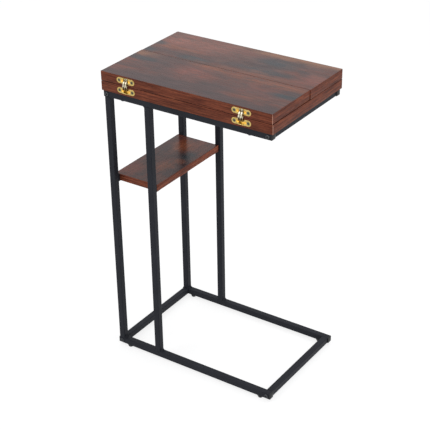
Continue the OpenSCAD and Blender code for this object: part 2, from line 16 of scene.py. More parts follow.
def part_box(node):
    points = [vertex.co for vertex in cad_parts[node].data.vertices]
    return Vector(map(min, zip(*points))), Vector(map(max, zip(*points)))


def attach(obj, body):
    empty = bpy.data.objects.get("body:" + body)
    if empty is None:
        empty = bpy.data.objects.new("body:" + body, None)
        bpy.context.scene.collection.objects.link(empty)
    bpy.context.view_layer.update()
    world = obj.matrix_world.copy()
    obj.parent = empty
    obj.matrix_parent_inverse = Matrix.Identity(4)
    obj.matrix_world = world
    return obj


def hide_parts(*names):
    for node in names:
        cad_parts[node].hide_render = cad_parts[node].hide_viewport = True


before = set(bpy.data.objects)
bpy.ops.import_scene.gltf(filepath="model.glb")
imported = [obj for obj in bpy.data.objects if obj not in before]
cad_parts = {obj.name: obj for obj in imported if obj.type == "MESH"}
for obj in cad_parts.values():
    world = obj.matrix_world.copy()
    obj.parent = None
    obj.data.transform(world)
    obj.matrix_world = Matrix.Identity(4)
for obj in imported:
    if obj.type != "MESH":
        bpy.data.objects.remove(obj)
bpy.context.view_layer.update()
MM = 0.001

# %% [markdown]
# ## The camera
# The view is the one of the product picture: from the front right, looking down by about 29
# degrees through a long lens. The numbers come from fitting a perspective camera to the
# straight edges of the table. A long lens keeps the uprights almost parallel, as here.

# %% Place the camera
CAMERA_PLACE = (1.26704, -1.86711, 1.56566)
CAMERA_TURN = (61.2025, 0.8783, 34.123)
SENSOR_W, LENS = 36, 102.71
bpy.ops.object.camera_add(
    location=CAMERA_PLACE,
    rotation=[math.radians(a) for a in CAMERA_TURN],
)
camera = bpy.context.object
camera.data.sensor_width = SENSOR_W
camera.data.lens = LENS
bpy.context.scene.camera = camera
bpy.context.scene.view_settings.view_transform = "Standard"
print("camera lens in mm:", round(camera.data.lens, 1))

# %% [markdown]
# ## Studio light
# A product studio is a white room with large soft lamps. The world is that room. Rays from
# the camera and from glossy surfaces see it as pure white, while the light that it sheds is
# weaker, so that a colour renders about as it is written. The floor works the same way: it
# looks white, yet it still takes a soft shadow from the table.

# %% A helper for node trees
def add_node(tree, kind, **settings):
    """Add a node. Settings name its properties or, with spaces as _, its input sockets."""
    made = tree.nodes.new("ShaderNode" + kind)
    for key, value in settings.items():
        if hasattr(made, key):
            setattr(made, key, value)
        else:
            made.inputs[key.replace("_", " ")].default_value = value
    return made


def seen_directly(tree):
    """Give 1 for rays from the camera, from glossy surfaces and through glass, else 0."""
    path = add_node(tree, "LightPath")
    total = path.outputs["Is Camera Ray"]
    for name in ("Is Glossy Ray", "Is Transmission Ray"):
        step = add_node(tree, "Math", operation="MAXIMUM")
        tree.links.new(total, step.inputs[0])
        tree.links.new(path.outputs[name], step.inputs[1])
        total = step.outputs[0]
    return total


# %% The white room
ROOM_LIGHT = 0.62
world = bpy.data.worlds.new("white_room")
world.use_nodes = True
bpy.context.scene.world = world
room = world.node_tree
room.nodes.clear()
shed = add_node(room, "Background", Color=(0.97, 0.98, 1.0, 1), Strength=ROOM_LIGHT)
shown = add_node(room, "Background", Color=(1, 1, 1, 1), Strength=1.0)
choose = add_node(room, "MixShader")
sky = add_node(room, "OutputWorld")
room.links.new(seen_directly(room), choose.inputs[0])
room.links.new(shed.outputs[0], choose.inputs[1])
room.links.new(shown.outputs[0], choose.inputs[2])
room.links.new(choose.outputs[0], sky.inputs[0])
print("room light:", ROOM_LIGHT)

# %% The floor
FLOOR_SIZE, FLOOR_DROP, FLOOR_GLOW = 14, 0.0002, 0.78
bpy.ops.object.select_all(action="DESELECT")
bpy.ops.mesh.primitive_plane_add(size=FLOOR_SIZE, location=(0, 0, -FLOOR_DROP))
floor = bpy.context.object
floor.name = "studio_floor"
floor_paint = bpy.data.materials.new("floor_paint")
floor_paint.use_nodes = True
paint = floor_paint.node_tree
paint.nodes.clear()
matt = add_node(paint, "BsdfDiffuse", Color=(0.8, 0.8, 0.8, 1))
matt_shown = add_node(paint, "BsdfDiffuse", Color=(0.3, 0.3, 0.3, 1))
glow = add_node(paint, "Emission", Color=(1, 1, 1, 1), Strength=FLOOR_GLOW)
both = add_node(paint, "AddShader")
choose = add_node(paint, "MixShader")
out = add_node(paint, "OutputMaterial")
paint.links.new(matt_shown.outputs[0], both.inputs[0])
paint.links.new(glow.outputs[0], both.inputs[1])
paint.links.new(seen_directly(paint), choose.inputs[0])
paint.links.new(matt.outputs[0], choose.inputs[1])
paint.links.new(both.outputs[0], choose.inputs[2])
paint.links.new(choose.outputs[0], out.inputs[0])
floor.data.materials.append(floor_paint)
print("floor glow:", FLOOR_GLOW)

# %% Three soft lamps
def soft_lamp(name, place, aim, size, power):
    """Add a square area lamp that points at aim. Places and size are in metres."""
    turn = (Vector(aim) - Vector(place)).to_track_quat("-Z", "Y").to_euler()
    bpy.ops.object.light_add(type="AREA", location=place, rotation=turn)
    lamp = bpy.context.object
    lamp.name = name
    lamp.data.size = size
    lamp.data.energy = power


LOW_AIM, HIGH_AIM = (0, 0, 0.35), (0, 0, 0.5)
soft_lamp("key_lamp", (-1.2, -2.2, 2.4), LOW_AIM, 1.6, 26)
soft_lamp("side_lamp", (2.6, -0.4, 1.5), LOW_AIM, 1.4, 14)
soft_lamp("top_lamp", (0.2, 0.6, 2.8), HIGH_AIM, 1.8, 18)

# %% [markdown]
# ## Finishes
# Each finish is one node material on Object coordinates, in metres, so its grain has a real
# size on every piece. The tools are the same everywhere: stretched noise for grain and
# clouds, a colour ramp to turn noise into colours, and a bump for what fingers would feel.
# Nearly all values of a noise lie between 0.3 and 0.7, so that span is what gets mapped.

# %% Starting a material
def new_finish(name, **surface):
    """Start a material: returns it, its tree, its surface shader and its Object coordinates."""
    finish = bpy.data.materials.new(name)
    finish.use_nodes = True
    tree = finish.node_tree
    shader = tree.nodes["Principled BSDF"]
    for key, value in surface.items():
        shader.inputs[key.replace("_", " ")].default_value = value
    place = add_node(tree, "TexCoord").outputs["Object"]
    return finish, tree, shader, place


# %% Noise, ramps and mixing
NOISE_SPAN = (0.3, 0.7)


def stretched_noise(tree, place, scale, detail=4.0, rough=0.55, warp=0.0, shift=(0, 0, 0)):
    """Noise with its own number of waves per metre along X, Y and Z."""
    fit = add_node(tree, "Mapping", Scale=scale, Location=shift)
    noise = add_node(
        tree, "TexNoise", Scale=1.0, Detail=detail, Roughness=rough, Distortion=warp
    )
    tree.links.new(place, fit.inputs["Vector"])
    tree.links.new(fit.outputs[0], noise.inputs["Vector"])
    return noise.outputs["Fac"]


def ramp(tree, value, stops):
    """Turn a value into a colour through stops of (position, (red, green, blue))."""
    made = add_node(tree, "ValToRGB")
    band = made.color_ramp
    while len(band.elements) < len(stops):
        band.elements.new(0.5)
    for element, (position, colour) in zip(band.elements, stops):
        element.position = position
        element.color = (*colour, 1)
    tree.links.new(value, made.inputs[0])
    return made.outputs["Color"]


def scaled(tree, value, low, high, new_low, new_high):
    """Map a range of a value to another range, held at its ends."""
    made = add_node(tree, "MapRange")
    for socket, number in zip(made.inputs[1:5], (low, high, new_low, new_high)):
        socket.default_value = number
    tree.links.new(value, made.inputs[0])
    return made.outputs[0]


def mixed(tree, share, below, above, way="MIX"):
    """Mix two colours. Share and each colour may be a socket or a plain value."""
    made = add_node(tree, "Mix", data_type="RGBA", blend_type=way)
    for index, value in ((0, share), (6, below), (7, above)):
        socket = made.inputs[index]
        if isinstance(value, bpy.types.NodeSocket):
            tree.links.new(value, socket)
        else:
            socket.default_value = value if isinstance(value, float) else (*value, 1)
    return made.outputs[2]


def shaded(tree, colour, noise, dark, light):
    """Multiply a colour by a noise between two strengths."""
    return mixed(tree, 1.0, colour, scaled(tree, noise, *NOISE_SPAN, dark, light), "MULTIPLY")


# %% Colour, gloss and relief
def coloured(tree, shader, colour):
    """Give the surface its colour."""
    tree.links.new(colour, shader.inputs["Base Color"])


def glossed(tree, shader, noise, smooth, rough):
    """Let a noise move the surface's roughness between two values."""
    tree.links.new(scaled(tree, noise, *NOISE_SPAN, smooth, rough), shader.inputs["Roughness"])


def bumped(tree, shader, height, strength, depth):
    """Give the surface a relief."""
    made = add_node(tree, "Bump", Strength=strength, Distance=depth)
    tree.links.new(height, made.inputs["Height"])
    tree.links.new(made.outputs[0], shader.inputs["Normal"])


# %% [markdown]
# ### Rustic wood laminate
# The boards are chipboard under a printed and lacquered paper. The print is a dark red-brown
# with long cloudy streaks: some nearly orange, some smoky blue-grey. Noises of several sizes
# give clouds, streaks, grain and pores. Between them lie the patches that this print has in
# known places. Each is a soft ellipse whose outline is bent by noise. The lacquer is fairly
# smooth, and at a low angle it reflects the white room, which is why the top looks greyer
# than the edges.

# %% Colours of the print
SMOKE = (0.046, 0.024, 0.026)
DUSK = (0.022, 0.030, 0.038)
BROWN = (0.088, 0.027, 0.020)
ROSE = (0.192, 0.050, 0.034)
PINK = (0.215, 0.072, 0.052)
RUST = (0.200, 0.056, 0.023)
TAN = (0.220, 0.096, 0.050)
UMBER = (0.060, 0.026, 0.025)
RUSSET = (0.126, 0.034, 0.023)
PORE = (0.020, 0.012, 0.010)
PRINT_STOPS = [(0.26, SMOKE), (0.42, UMBER), (0.52, BROWN), (0.64, RUSSET), (0.82, RUST)]
print("print colours from noise:", len(PRINT_STOPS))

# %% One patch of the print
def frayed_patch(tree, place, bend, x, y, half_l, half_w, strength):
    """How much of a patch's colour shows: a soft ellipse, its outline bent by a noise."""
    spot = add_node(
        tree,
        "Mapping",
        vector_type="TEXTURE",
        Location=(x * MM, y * MM, 0),
        Scale=(half_l * MM, half_w * MM, 10.0),
    )
    tree.links.new(place, spot.inputs["Vector"])
    disc = add_node(tree, "TexGradient", gradient_type="SPHERICAL")
    tree.links.new(spot.outputs[0], disc.inputs["Vector"])
    frayed = add_node(tree, "Math", operation="MULTIPLY_ADD")
    tree.links.new(bend, frayed.inputs[0])
    frayed.inputs[1].default_value = 0.9
    tree.links.new(disc.outputs["Fac"], frayed.inputs[2])
    share = scaled(tree, frayed.outputs[0], 0.38, 1.25, 0.0, strength)
    share.node.interpolation_type = "SMOOTHSTEP"
    return share


# %% One board's print
def laminate(name, shift, patches=(), grain_turn=0.0):
    """One board's print. A patch is (x, y, half length, half width, colour, strength) in mm."""
    finish, tree, shader, place = new_finish(
        name, Roughness=0.24, IOR=1.5, Specular_IOR_Level=0.22
    )
    turned = add_node(tree, "Mapping", Rotation=(0, 0, grain_turn))
    tree.links.new(place, turned.inputs["Vector"])
    grain_place = turned.outputs[0]
    clouds = stretched_noise(tree, grain_place, (10, 24, 4), 4.0, 0.6, 0.8, shift)
    streaks = stretched_noise(tree, grain_place, (8, 75, 4), 4.0, 0.6, 0.4, shift)
    blend = add_node(tree, "Math", operation="MULTIPLY_ADD")
    tree.links.new(streaks, blend.inputs[0])
    blend.inputs[1].default_value = 0.45
    tree.links.new(scaled(tree, clouds, 0.0, 1.0, -0.20, 0.75), blend.inputs[2])
    colour = ramp(tree, blend.outputs[0], PRINT_STOPS)
    bend = stretched_noise(tree, place, (26, 60, 10), 3.0, 0.6)
    for x, y, half_l, half_w, tint, strength in patches:
        share = frayed_patch(tree, place, bend, x, y, half_l, half_w, strength)
        colour = mixed(tree, share, colour, tint)
    grain = stretched_noise(tree, grain_place, (20, 210, 12), 3.0, 0.65, 0.3, shift)
    colour = shaded(tree, colour, grain, 0.70, 1.30)
    fine = stretched_noise(tree, grain_place, (35, 900, 20), 3.0, 0.7)
    colour = shaded(tree, colour, fine, 0.80, 1.18)
    dots = stretched_noise(tree, grain_place, (55, 1500, 30), 2.0)
    colour = mixed(tree, scaled(tree, dots, 0.62, 0.72, 0.0, 0.45), colour, PORE)
    coloured(tree, shader, colour)
    sheen = stretched_noise(tree, place, (40, 90, 40), 3.0)
    glossed(tree, shader, sheen, 0.20, 0.30)
    bumped(tree, shader, fine, 0.05, 0.0002)
    return finish


# %% The prints of the two leaves
front_print = laminate(
    "laminate_front_leaf",
    (0.31, 0.13, 0),
    [
        (-186, -10, 62, 24, TAN, 0.75),
        (-110, -13, 85, 16, SMOKE, 0.75),
        (-25, -4, 62, 16, RUST, 0.95),
        (115, -8, 150, 20, RUST, 0.6),
        (190, -12, 60, 16, RUST, 0.5),
        (-40, -45, 80, 52, ROSE, 0.7),
        (115, -55, 110, 42, ROSE, 0.3),
        (-165, -32, 70, 16, DUSK, 0.95),
        (-120, -40, 60, 14, SMOKE, 0.6),
        (-130, -66, 90, 30, SMOKE, 0.5),
        (185, -31, 70, 12, SMOKE, 0.8),
        (180, -48, 60, 15, DUSK, 1.0),
        (40, -84, 70, 40, SMOKE, 0.75),
        (-60, -120, 230, 40, SMOKE, 0.8),
        (130, -122, 120, 34, SMOKE, 0.85),
        (190, -124, 60, 40, SMOKE, 0.7),
        (105, -88, 70, 18, RUST, 0.2),
    ],
)
back_print = laminate(
    "laminate_back_leaf",
    (0.77, 0.52, 0),
    [
        (-115, 92, 170, 66, PINK, 0.75),
        (-172, 88, 45, 48, PINK, 0.95),
        (-20, 100, 90, 40, PINK, 0.5),
        (-150, 50, 95, 15, RUST, 0.6),
        (-196, 58, 28, 18, DUSK, 0.95),
        (-110, 30, 130, 22, SMOKE, 0.6),
        (-82, 19, 60, 15, DUSK, 1.0),
        (-192, 16, 30, 14, DUSK, 0.9),
        (20, 60, 110, 60, SMOKE, 0.6),
        (78, 84, 72, 34, DUSK, 0.9),
        (75, 38, 95, 20, DUSK, 0.7),
        (110, 124, 200, 20, TAN, 0.85),
        (185, 45, 60, 40, ROSE, 0.6),
        (60, 12, 150, 14, RUST, 0.5),
    ],
)
print("leaf prints:", front_print.name, back_print.name)

# %% The prints of the fixed board and the shelf, whose grain runs front to back
base_print = laminate("laminate_fixed_board", (1.73, 0.91, 0))
shelf_print = laminate(
    "laminate_shelf",
    (2.41, 1.37, 0),
    [
        (-100, -50, 26, 50, SMOKE, 0.9),
        (-112, 34, 26, 34, DUSK, 1.0),
        (-160, -20, 30, 40, SMOKE, 0.6),
        (-178, -78, 34, 46, ROSE, 0.8),
        (-128, -30, 26, 34, RUST, 0.8),
        (-150, 66, 34, 44, RUST, 0.9),
        (-114, 2, 20, 18, RUST, 0.6),
        (-178, 40, 26, 40, SMOKE, 0.7),
    ],
    math.radians(90),
)
print("other prints:", base_print.name, shelf_print.name)

# %% [markdown]
# ### Chipboard and edge banding
# Under the print is raw chipboard, which shows only inside the pockets cut for the hinges.
# The edges are covered by thin plastic strips with their own print: red-brown, with short
# fine dark and light streaks along the board. Its gloss is lower than the lacquer's. The
# shelf's strips are printed lighter, as painted light, since the top above shades them. At
# the front right corner of the top, the strips' ends get a light tan instead, a painted
# highlight line, so that is a finish of its own.

# %% Chipboard
CHIP_STOPS = [(0.32, (0.16, 0.09, 0.05)), (0.5, (0.42, 0.28, 0.16)), (0.68, (0.60, 0.44, 0.28))]
chipboard, tree, shader, place = new_finish("chipboard_core", Roughness=0.85, IOR=1.4)
chips = stretched_noise(tree, place, (420, 420, 700), 3.0, 0.7, 0.6)
coloured(tree, shader, ramp(tree, chips, CHIP_STOPS))
bumped(tree, shader, chips, 0.6, 0.0004)
print("core of the boards:", chipboard.name)

# %% Edge banding
STREAK_STOPS = [
    (0.30, (0.052, 0.012, 0.007)),
    (0.48, (0.132, 0.034, 0.018)),
    (0.66, (0.235, 0.068, 0.032)),
]


def edge_banding(name, lift):
    """The print of the edge strips. Lift scales its brightness; above 1 it is painted light."""
    finish, tree, shader, place = new_finish(
        name, Roughness=0.42, IOR=1.45, Specular_IOR_Level=0.12
    )
    long_streaks = stretched_noise(tree, place, (16, 16, 420), 4.0, 0.65, 0.2)
    short_streaks = stretched_noise(
        tree, place, (110, 110, 1100), 3.0, 0.7, 0.1, (0.4, 0.2, 0.7)
    )
    clouds = stretched_noise(tree, place, (14, 14, 60), 2.0, 0.5, 0.0, (3.1, 1.2, 0.4))
    colour = ramp(tree, long_streaks, STREAK_STOPS)
    colour = shaded(tree, colour, short_streaks, 0.66 * lift, 1.28 * lift)
    colour = shaded(tree, colour, clouds, 0.80, 1.20)
    coloured(tree, shader, colour)
    bumped(tree, shader, short_streaks, 0.08, 0.0002)
    return finish


edge_print = edge_banding("edge_banding", lift=1.0)
# The shelf's strips are printed 1.28 times lighter: painted light, as the top above shades them.
shelf_lit_edge_print = edge_banding("shelf_banding_painted_light", lift=1.28)
print("strip prints:", edge_print.name, shelf_lit_edge_print.name)

# %% The painted highlight at the top's front right corner
# Painted highlight: a light tan that stands in for the line of light along the corner.
corner_highlight, tree, shader, place = new_finish("corner_painted_highlight", Roughness=0.5, IOR=1.45)
highlight_mottle = stretched_noise(tree, place, (120, 120, 260), 3.0)
coloured(tree, shader, ramp(tree, highlight_mottle, [(0.35, (0.46, 0.22, 0.15)), (0.6, (0.72, 0.39, 0.28))]))
print("painted highlight of the corner:", corner_highlight.name)

# %% [markdown]
# ### Powder coat
# The tubes are powder coated: a matt charcoal, slightly blue, with the fine orange-peel
# texture that melted powder leaves. The texture is a noise with waves under a millimetre.

# %% Powder coat
frame_coat, tree, shader, place = new_finish(
    "frame_powder_coat", Roughness=0.5, IOR=1.45, Specular_IOR_Level=0.1
)
drift = stretched_noise(tree, place, (22, 22, 22), 4.0)
grit = stretched_noise(tree, place, (1500, 1500, 1500), 2.0)
charcoal = ramp(tree, drift, [(0.3, (0.0170, 0.0182, 0.0232)), (0.7, (0.0250, 0.0268, 0.0335))])
coloured(tree, shader, shaded(tree, charcoal, grit, 0.8, 1.25))
glossed(tree, shader, drift, 0.44, 0.56)
peel = stretched_noise(tree, place, (700, 700, 700), 3.0, 0.5)
bumped(tree, shader, peel, 0.25, 0.0003)
print("frame finish:", frame_coat.name)

# %% [markdown]
# ### Plastic and metals
# End caps and glides are moulded black plastic with a faint grain. The frame's screws are
# blackened steel. The hinges are cast and brass plated, their links are nickel-plated steel,
# and what hides inside is zinc plated. The hinge screws are a dull steel. The lower links
# darken low down, and the recesses of all screws and bolts are dark: both are painted shade.
# The dips beside the mouth get a brighter brass and the ribs a near-white nickel: painted
# light. Plating is never even: small changes of roughness and colour keep the metal from
# looking like paint.

# %% Moulded plastic
moulded_black, tree, shader, place = new_finish(
    "moulded_black", Roughness=0.45, IOR=1.46, Specular_IOR_Level=0.35
)
grain = stretched_noise(tree, place, (2200, 2200, 2200), 2.0)
black = ramp(tree, grain, [(0.3, (0.0060, 0.0065, 0.0075)), (0.7, (0.0100, 0.0110, 0.0130))])
coloured(tree, shader, black)
glossed(tree, shader, grain, 0.38, 0.52)
bumped(tree, shader, grain, 0.2, 0.0001)
print("plastic:", moulded_black.name)

# %% Metals
NICKEL = ((0.60, 0.55, 0.41), (0.76, 0.71, 0.55), 0.30, 0.42)
DENT_DEPTH = 0.00008


def plated(name, dark, light, smooth, rough, waves=260.0):
    """A plated metal whose tone and gloss wander a little, with so many waves per metre."""
    finish, tree, shader, place = new_finish(name, Metallic=1.0, Roughness=0.3)
    wander = stretched_noise(tree, place, (waves, waves, waves), 3.0, 0.6)
    coloured(tree, shader, ramp(tree, wander, [(0.3, dark), (0.7, light)]))
    glossed(tree, shader, wander, smooth, rough)
    bumped(tree, shader, wander, 0.15, DENT_DEPTH)
    return finish


hinge_brass = plated("hinge_brass", (0.42, 0.30, 0.085), (0.70, 0.52, 0.19), 0.20, 0.34)
# The dips' brass is a little smoother than the plate's, and much brighter and yellower: a painted
# glint.
dip_glint_brass = plated("polished_brass_painted_glint", (0.80, 0.44, 0.06), (0.96, 0.58, 0.10), 0.18, 0.30, 400.0)
screw_steel = plated("screw_steel", (0.06, 0.07, 0.04), (0.24, 0.24, 0.16), 0.22, 0.40, 900.0)
link_nickel = plated("link_nickel", *NICKEL)
# Painted light: the ribs deep in the mouth get a near-white nickel, so that they read bright
# despite the shade there.
rib_nickel_painted_light = plated("rib_nickel_painted_light", (0.88, 0.84, 0.68), (0.97, 0.93, 0.79), 0.45, 0.55)
zinc_plate = plated("zinc_plate", (0.50, 0.52, 0.54), (0.66, 0.67, 0.67), 0.30, 0.42)
shaded_nickel = plated("link_nickel_painted_shade", *NICKEL)
black_steel = plated("blackened_steel", (0.040, 0.043, 0.048), (0.080, 0.084, 0.091), 0.28, 0.42)

# %% Painted shade on the lower links
# Painted shade: below 630.8 mm the lower links fade to a dark brown, all of it at 628.5 mm, where
# the upper links' knuckle shades them.
LINK_SHADE, SHADE_TOP, LIT_FROM = (0.20, 0.135, 0.06), 0.6285, 0.6308
tree = shaded_nickel.node_tree
shader = tree.nodes["Principled BSDF"]
bright = shader.inputs["Base Color"].links[0].from_socket
height = add_node(tree, "SeparateXYZ")
tree.links.new(add_node(tree, "TexCoord").outputs["Object"], height.inputs[0])
unshaded = scaled(tree, height.outputs["Z"], SHADE_TOP, LIT_FROM, 0.0, 1.0)
coloured(tree, shader, mixed(tree, unshaded, LINK_SHADE, bright))
print("shade_painted up to", SHADE_TOP / MM, "mm over the floor")

# %% Painted shade in the screw recesses
# Painted shade: the recesses of screws and bolts get a near-black mottled colour where shade
# falls.
recess_shade_finish, tree, shader, place = new_finish(
    "screw_recess_painted_shade", Roughness=0.7, IOR=1.4, Specular_IOR_Level=0.2
)
recess_mottle = stretched_noise(tree, place, (900, 900, 900), 3.0)
recess_shade_colour = ramp(tree, recess_mottle, [(0.3, (0.008, 0.008, 0.005)), (0.7, (0.050, 0.046, 0.028))])
coloured(tree, shader, recess_shade_colour)
print("finishes:", len(bpy.data.materials))

# %% [markdown]
# ## Tools for modelling
# All shapes start from a primitive. In edit mode, operators act on what is selected, so one
# helper selects vertices, edges or faces by a test on their place. Another cuts one shape
# with another by a Boolean modifier, and one turns the edges of a shape into small rounds.
# A tool that cuts starts well in front of the face, because two faces in one plane can leave
# stray skins behind.

# %% Selecting
TOUCH = 0.01 * MM  # places closer than this count as one


def rest():
    """Back to object mode with nothing selected."""
    if bpy.context.object and bpy.context.object.mode != "OBJECT":
        bpy.ops.object.mode_set(mode="OBJECT")
    bpy.ops.object.select_all(action="DESELECT")


def take(piece):
    """Make a piece the one that operators act on."""
    rest()
    piece.select_set(True)
    bpy.context.view_layer.objects.active = piece


def settle(piece, name=None):
    """Apply a piece's place, turn and size, so its object sits at the origin."""
    take(piece)
    bpy.ops.object.transform_apply(location=True, rotation=True, scale=True)
    if name:
        piece.name = name
        piece.data.name = name
    return piece


def open_all(piece):
    """Enter edit mode with everything selected."""
    take(piece)
    bpy.ops.object.mode_set(mode="EDIT")
    bpy.ops.mesh.select_all(action="SELECT")


def pick(piece, kind, test):
    """Enter edit mode with what passes a test selected. An edge's test gets both its ends."""
    take(piece)
    mesh = piece.data
    for items in (mesh.vertices, mesh.edges, mesh.polygons):
        items.foreach_set("select", [False] * len(items))
    items = {"VERT": mesh.vertices, "EDGE": mesh.edges, "FACE": mesh.polygons}[kind]
    for item in items:
        corners = [item.co] if kind == "VERT" else [mesh.vertices[v].co for v in item.vertices]
        item.select = test(*corners) if kind == "EDGE" else all(test(c) for c in corners)
    bpy.context.tool_settings.mesh_select_mode = [kind == k for k in ("VERT", "EDGE", "FACE")]
    bpy.ops.object.mode_set(mode="EDIT")


# %% Starting shapes
def box(name, low, high):
    """A cube primitive stretched between two corners, in mm."""
    rest()
    low, high = Vector(low) * MM, Vector(high) * MM
    bpy.ops.mesh.primitive_cube_add(size=1, location=(low + high) / 2)
    piece = bpy.context.object
    piece.scale = high - low
    return settle(piece, name)


def rod(name, radius, start, length, axis, sides, end_radius=None):
    """A cylinder or cone primitive from a start point along Y or Z, in mm."""
    rest()
    turn = {"Y": (-math.pi / 2, 0, 0), "Z": (0, 0, 0)}[axis]
    step = {"Y": (0, 1, 0), "Z": (0, 0, 1)}[axis]
    bpy.ops.mesh.primitive_cone_add(
        vertices=sides,
        radius1=radius * MM,
        radius2=(radius if end_radius is None else end_radius) * MM,
        depth=length * MM,
        location=(Vector(start) + Vector(step) * length / 2) * MM,
        rotation=turn,
    )
    return settle(bpy.context.object, name)


# %% Rounding, cutting, copying and joining
SHARP = math.radians(35)


def soften(piece, width, test=None, segments=2, profile=0.5):
    """Round the edges that pass a test on their two ends, or all sharp ones."""
    if test:
        pick(piece, "EDGE", test)
        bpy.ops.mesh.bevel(offset=width * MM, segments=segments, profile=profile, affect="EDGES")
        rest()
    else:
        take(piece)
        edge = piece.modifiers.new("soft_edges", "BEVEL")
        edge.width = width * MM
        edge.segments = segments
        edge.limit_method = "ANGLE"
        edge.angle_limit = SHARP
        bpy.ops.object.modifier_apply(modifier=edge.name)
    return piece


def combine(piece, tool, way):
    """Cut or join a piece with a tool, which is used up."""
    take(piece)
    step = piece.modifiers.new(way, "BOOLEAN")
    step.operation = way
    step.solver = "EXACT"
    step.object = tool
    bpy.ops.object.modifier_apply(modifier=step.name)
    bpy.data.objects.remove(tool)
    return piece


def copy_of(piece, name, matrix=Matrix()):
    """A copy with its own mesh, moved by a matrix and facing outwards."""
    take(piece)
    bpy.ops.object.duplicate()
    made = bpy.context.object
    made.matrix_world = matrix @ made.matrix_world
    settle(made, name)
    if matrix.determinant() < 0:
        open_all(made)
        bpy.ops.mesh.normals_make_consistent(inside=False)
        rest()
    return made


def joined(name, pieces):
    """Several pieces as one object."""
    rest()
    for piece in pieces:
        piece.select_set(True)
    bpy.context.view_layer.objects.active = pieces[0]
    bpy.ops.object.join()
    return settle(bpy.context.object, name)


def moved_to(x, y, z):
    """A matrix that moves a piece to a place in mm."""
    return Matrix.Translation(Vector((x, y, z)) * MM)


def mirror_of(x=1, y=1, z=1):
    """A matrix that flips the axes given as -1."""
    return Matrix.Diagonal((x, y, z, 1))


# %% Finishing a piece
def mark_faces(piece, finish, *others):
    """Give a piece its finish, and each other finish to the faces that pass its test."""
    piece.data.materials.clear()
    piece.data.materials.append(finish)
    for face in piece.data.polygons:
        face.material_index = 0
    for index, (other, test) in enumerate(others, 1):
        piece.data.materials.append(other)
        for face in piece.data.polygons:
            if test(face):
                face.material_index = index
    return piece


def from_axis(face, x=0, z=0):
    """How far a face's centre lies from the line along Y through x and z, in mm."""
    return math.hypot(face.center.x / MM - x, face.center.z / MM - z)


def dress(piece, finish, body, node, angle=35):
    """Smooth a finished piece, give it its finish and its body, and hide what it stands for."""
    take(piece)
    bpy.ops.object.shade_smooth_by_angle(angle=math.radians(angle))
    if not piece.data.materials:
        piece.data.materials.append(finish)
    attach(piece, body)
    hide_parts(node)
    rest()
    print(node, "->", piece.name, len(piece.data.polygons), "faces")


def coat(node, finish):
    """Give a CAD node its finish."""
    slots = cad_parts[node].data.materials
    slots.clear()
    slots.append(finish)


# %% [markdown]
# ## Sizes
# The sizes below are those of the CAD part, in mm. The hinge is described round its axis: the
# line between a leaf's edge and the fixed board's edge, 631.5 mm up. Below it lies the
# board's half of the hinge, and the leaf's half is its mirror image above.

# %% Sizes in mm
# The top and the shelf
TOP_L, TOP_D, BOARD_T = 400, 260, 20
BOARD_Z, LEAF_Z, AXIS_Z, AXIS_Y = 611, 632, 631.5, 130.25
FRONT_LEAF_D, BACK_LEAF_D, LEAF_L = 134.7, 124.7, 399
BAND_T, BAND_JOINT = 1, 0.1
SHELF = ((-195, -109, 404), (-88, 114, 419))
# The hinges: plate, mouth, cup and screws. EDGE_IN and all that ends in _IN lie behind the axis
HINGE_XS = (-139, 131)
PLATE_L, PLATE_W, PLATE_T, PLATE_MID = 43.541, 12.541, 2.2, 10.5705
EDGE_IN, MOUTH_L, MOUTH_NEAR, MOUTH_FAR, MOUTH_IN = 0.25, 11.4, 5.2, 15.941, 6.116
CUP_W, CUP_H, CUP_IN = 14.6, 11.941, 7.316
SCREW_PITCH, SCREW_D, SCREW_HEAD_D, SCREW_L = 31, 3, 6.6, 14
PILOT_PLAY, HOLE_PLAY, HEAD_PLAY = 0.03, 0.2, 0.23
# The frame
TUBE, TUBE_R, TUBE_WALL, RAIL_Y, FRAME_X = 13.5, 1.4, 1.2, 128.5, 195
RAIL_ZS = (6, 597.5)
plate_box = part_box("front_board_hinge_cups")
print("hinge plate width in mm:", round((plate_box[1].z - plate_box[0].z) / MM, 3))

# %% [markdown]
# ## Boards
# A board is a slab with a pocket for each hinge. The pocket is cut with one tool: a flat bar
# with round ends for the plate, a block for the cup behind it, and two pilot holes. The bar
# is made from a cylinder whose two halves are pulled apart, which keeps its ends truly round.

# %% A flat bar with round ends
def round_bar(name, length, width, near, far, z):
    """A flat bar with round ends, lying along X, its faces at y = near and y = far."""
    bar = rod(name, width / 2, (0, near, z), far - near, "Y", 64)
    reach = (length - width) / 2 * MM
    for side in (-1, 1):
        pick(bar, "VERT", lambda v: v.x * side > TOUCH)
        bpy.ops.transform.translate(value=(side * reach, 0, 0))
        rest()
    return bar


# %% The pocket tool
def pocket_tool():
    """The shape that a hinge takes out of a board's edge, drawn below the hinge axis."""
    fit = 0.1
    floor_y = EDGE_IN + PLATE_T + fit
    tool = round_bar(
        "pocket_tool", PLATE_L + 2 * fit, PLATE_W + 2 * fit, EDGE_IN - 1, floor_y, -PLATE_MID
    )
    cup = box(
        "cup_pocket",
        (-CUP_W / 2 - fit, EDGE_IN - 0.9, -PLATE_MID - CUP_H / 2 - fit),
        (CUP_W / 2 + fit, CUP_IN + fit, -PLATE_MID + CUP_H / 2 + fit),
    )
    combine(tool, cup, "UNION")
    for side in (-1, 1):
        start = (side * SCREW_PITCH / 2, EDGE_IN - 0.8, -PLATE_MID)
        pilot = rod("pilot_hole", SCREW_D / 2 + PILOT_PLAY, start, SCREW_L + 0.9, "Y", 24)
        combine(tool, pilot, "UNION")
    return tool


def at_hinge(x, side, leaf):
    """Matrix from the hinge drawn below its axis, outside towards -Y, to its real place."""
    turn = Matrix.Identity(4) if side < 0 else Matrix.Rotation(math.pi, 4, "Z")
    flip = mirror_of(z=-1) if leaf else Matrix.Identity(4)
    return moved_to(x, side * AXIS_Y, AXIS_Z) @ turn @ flip


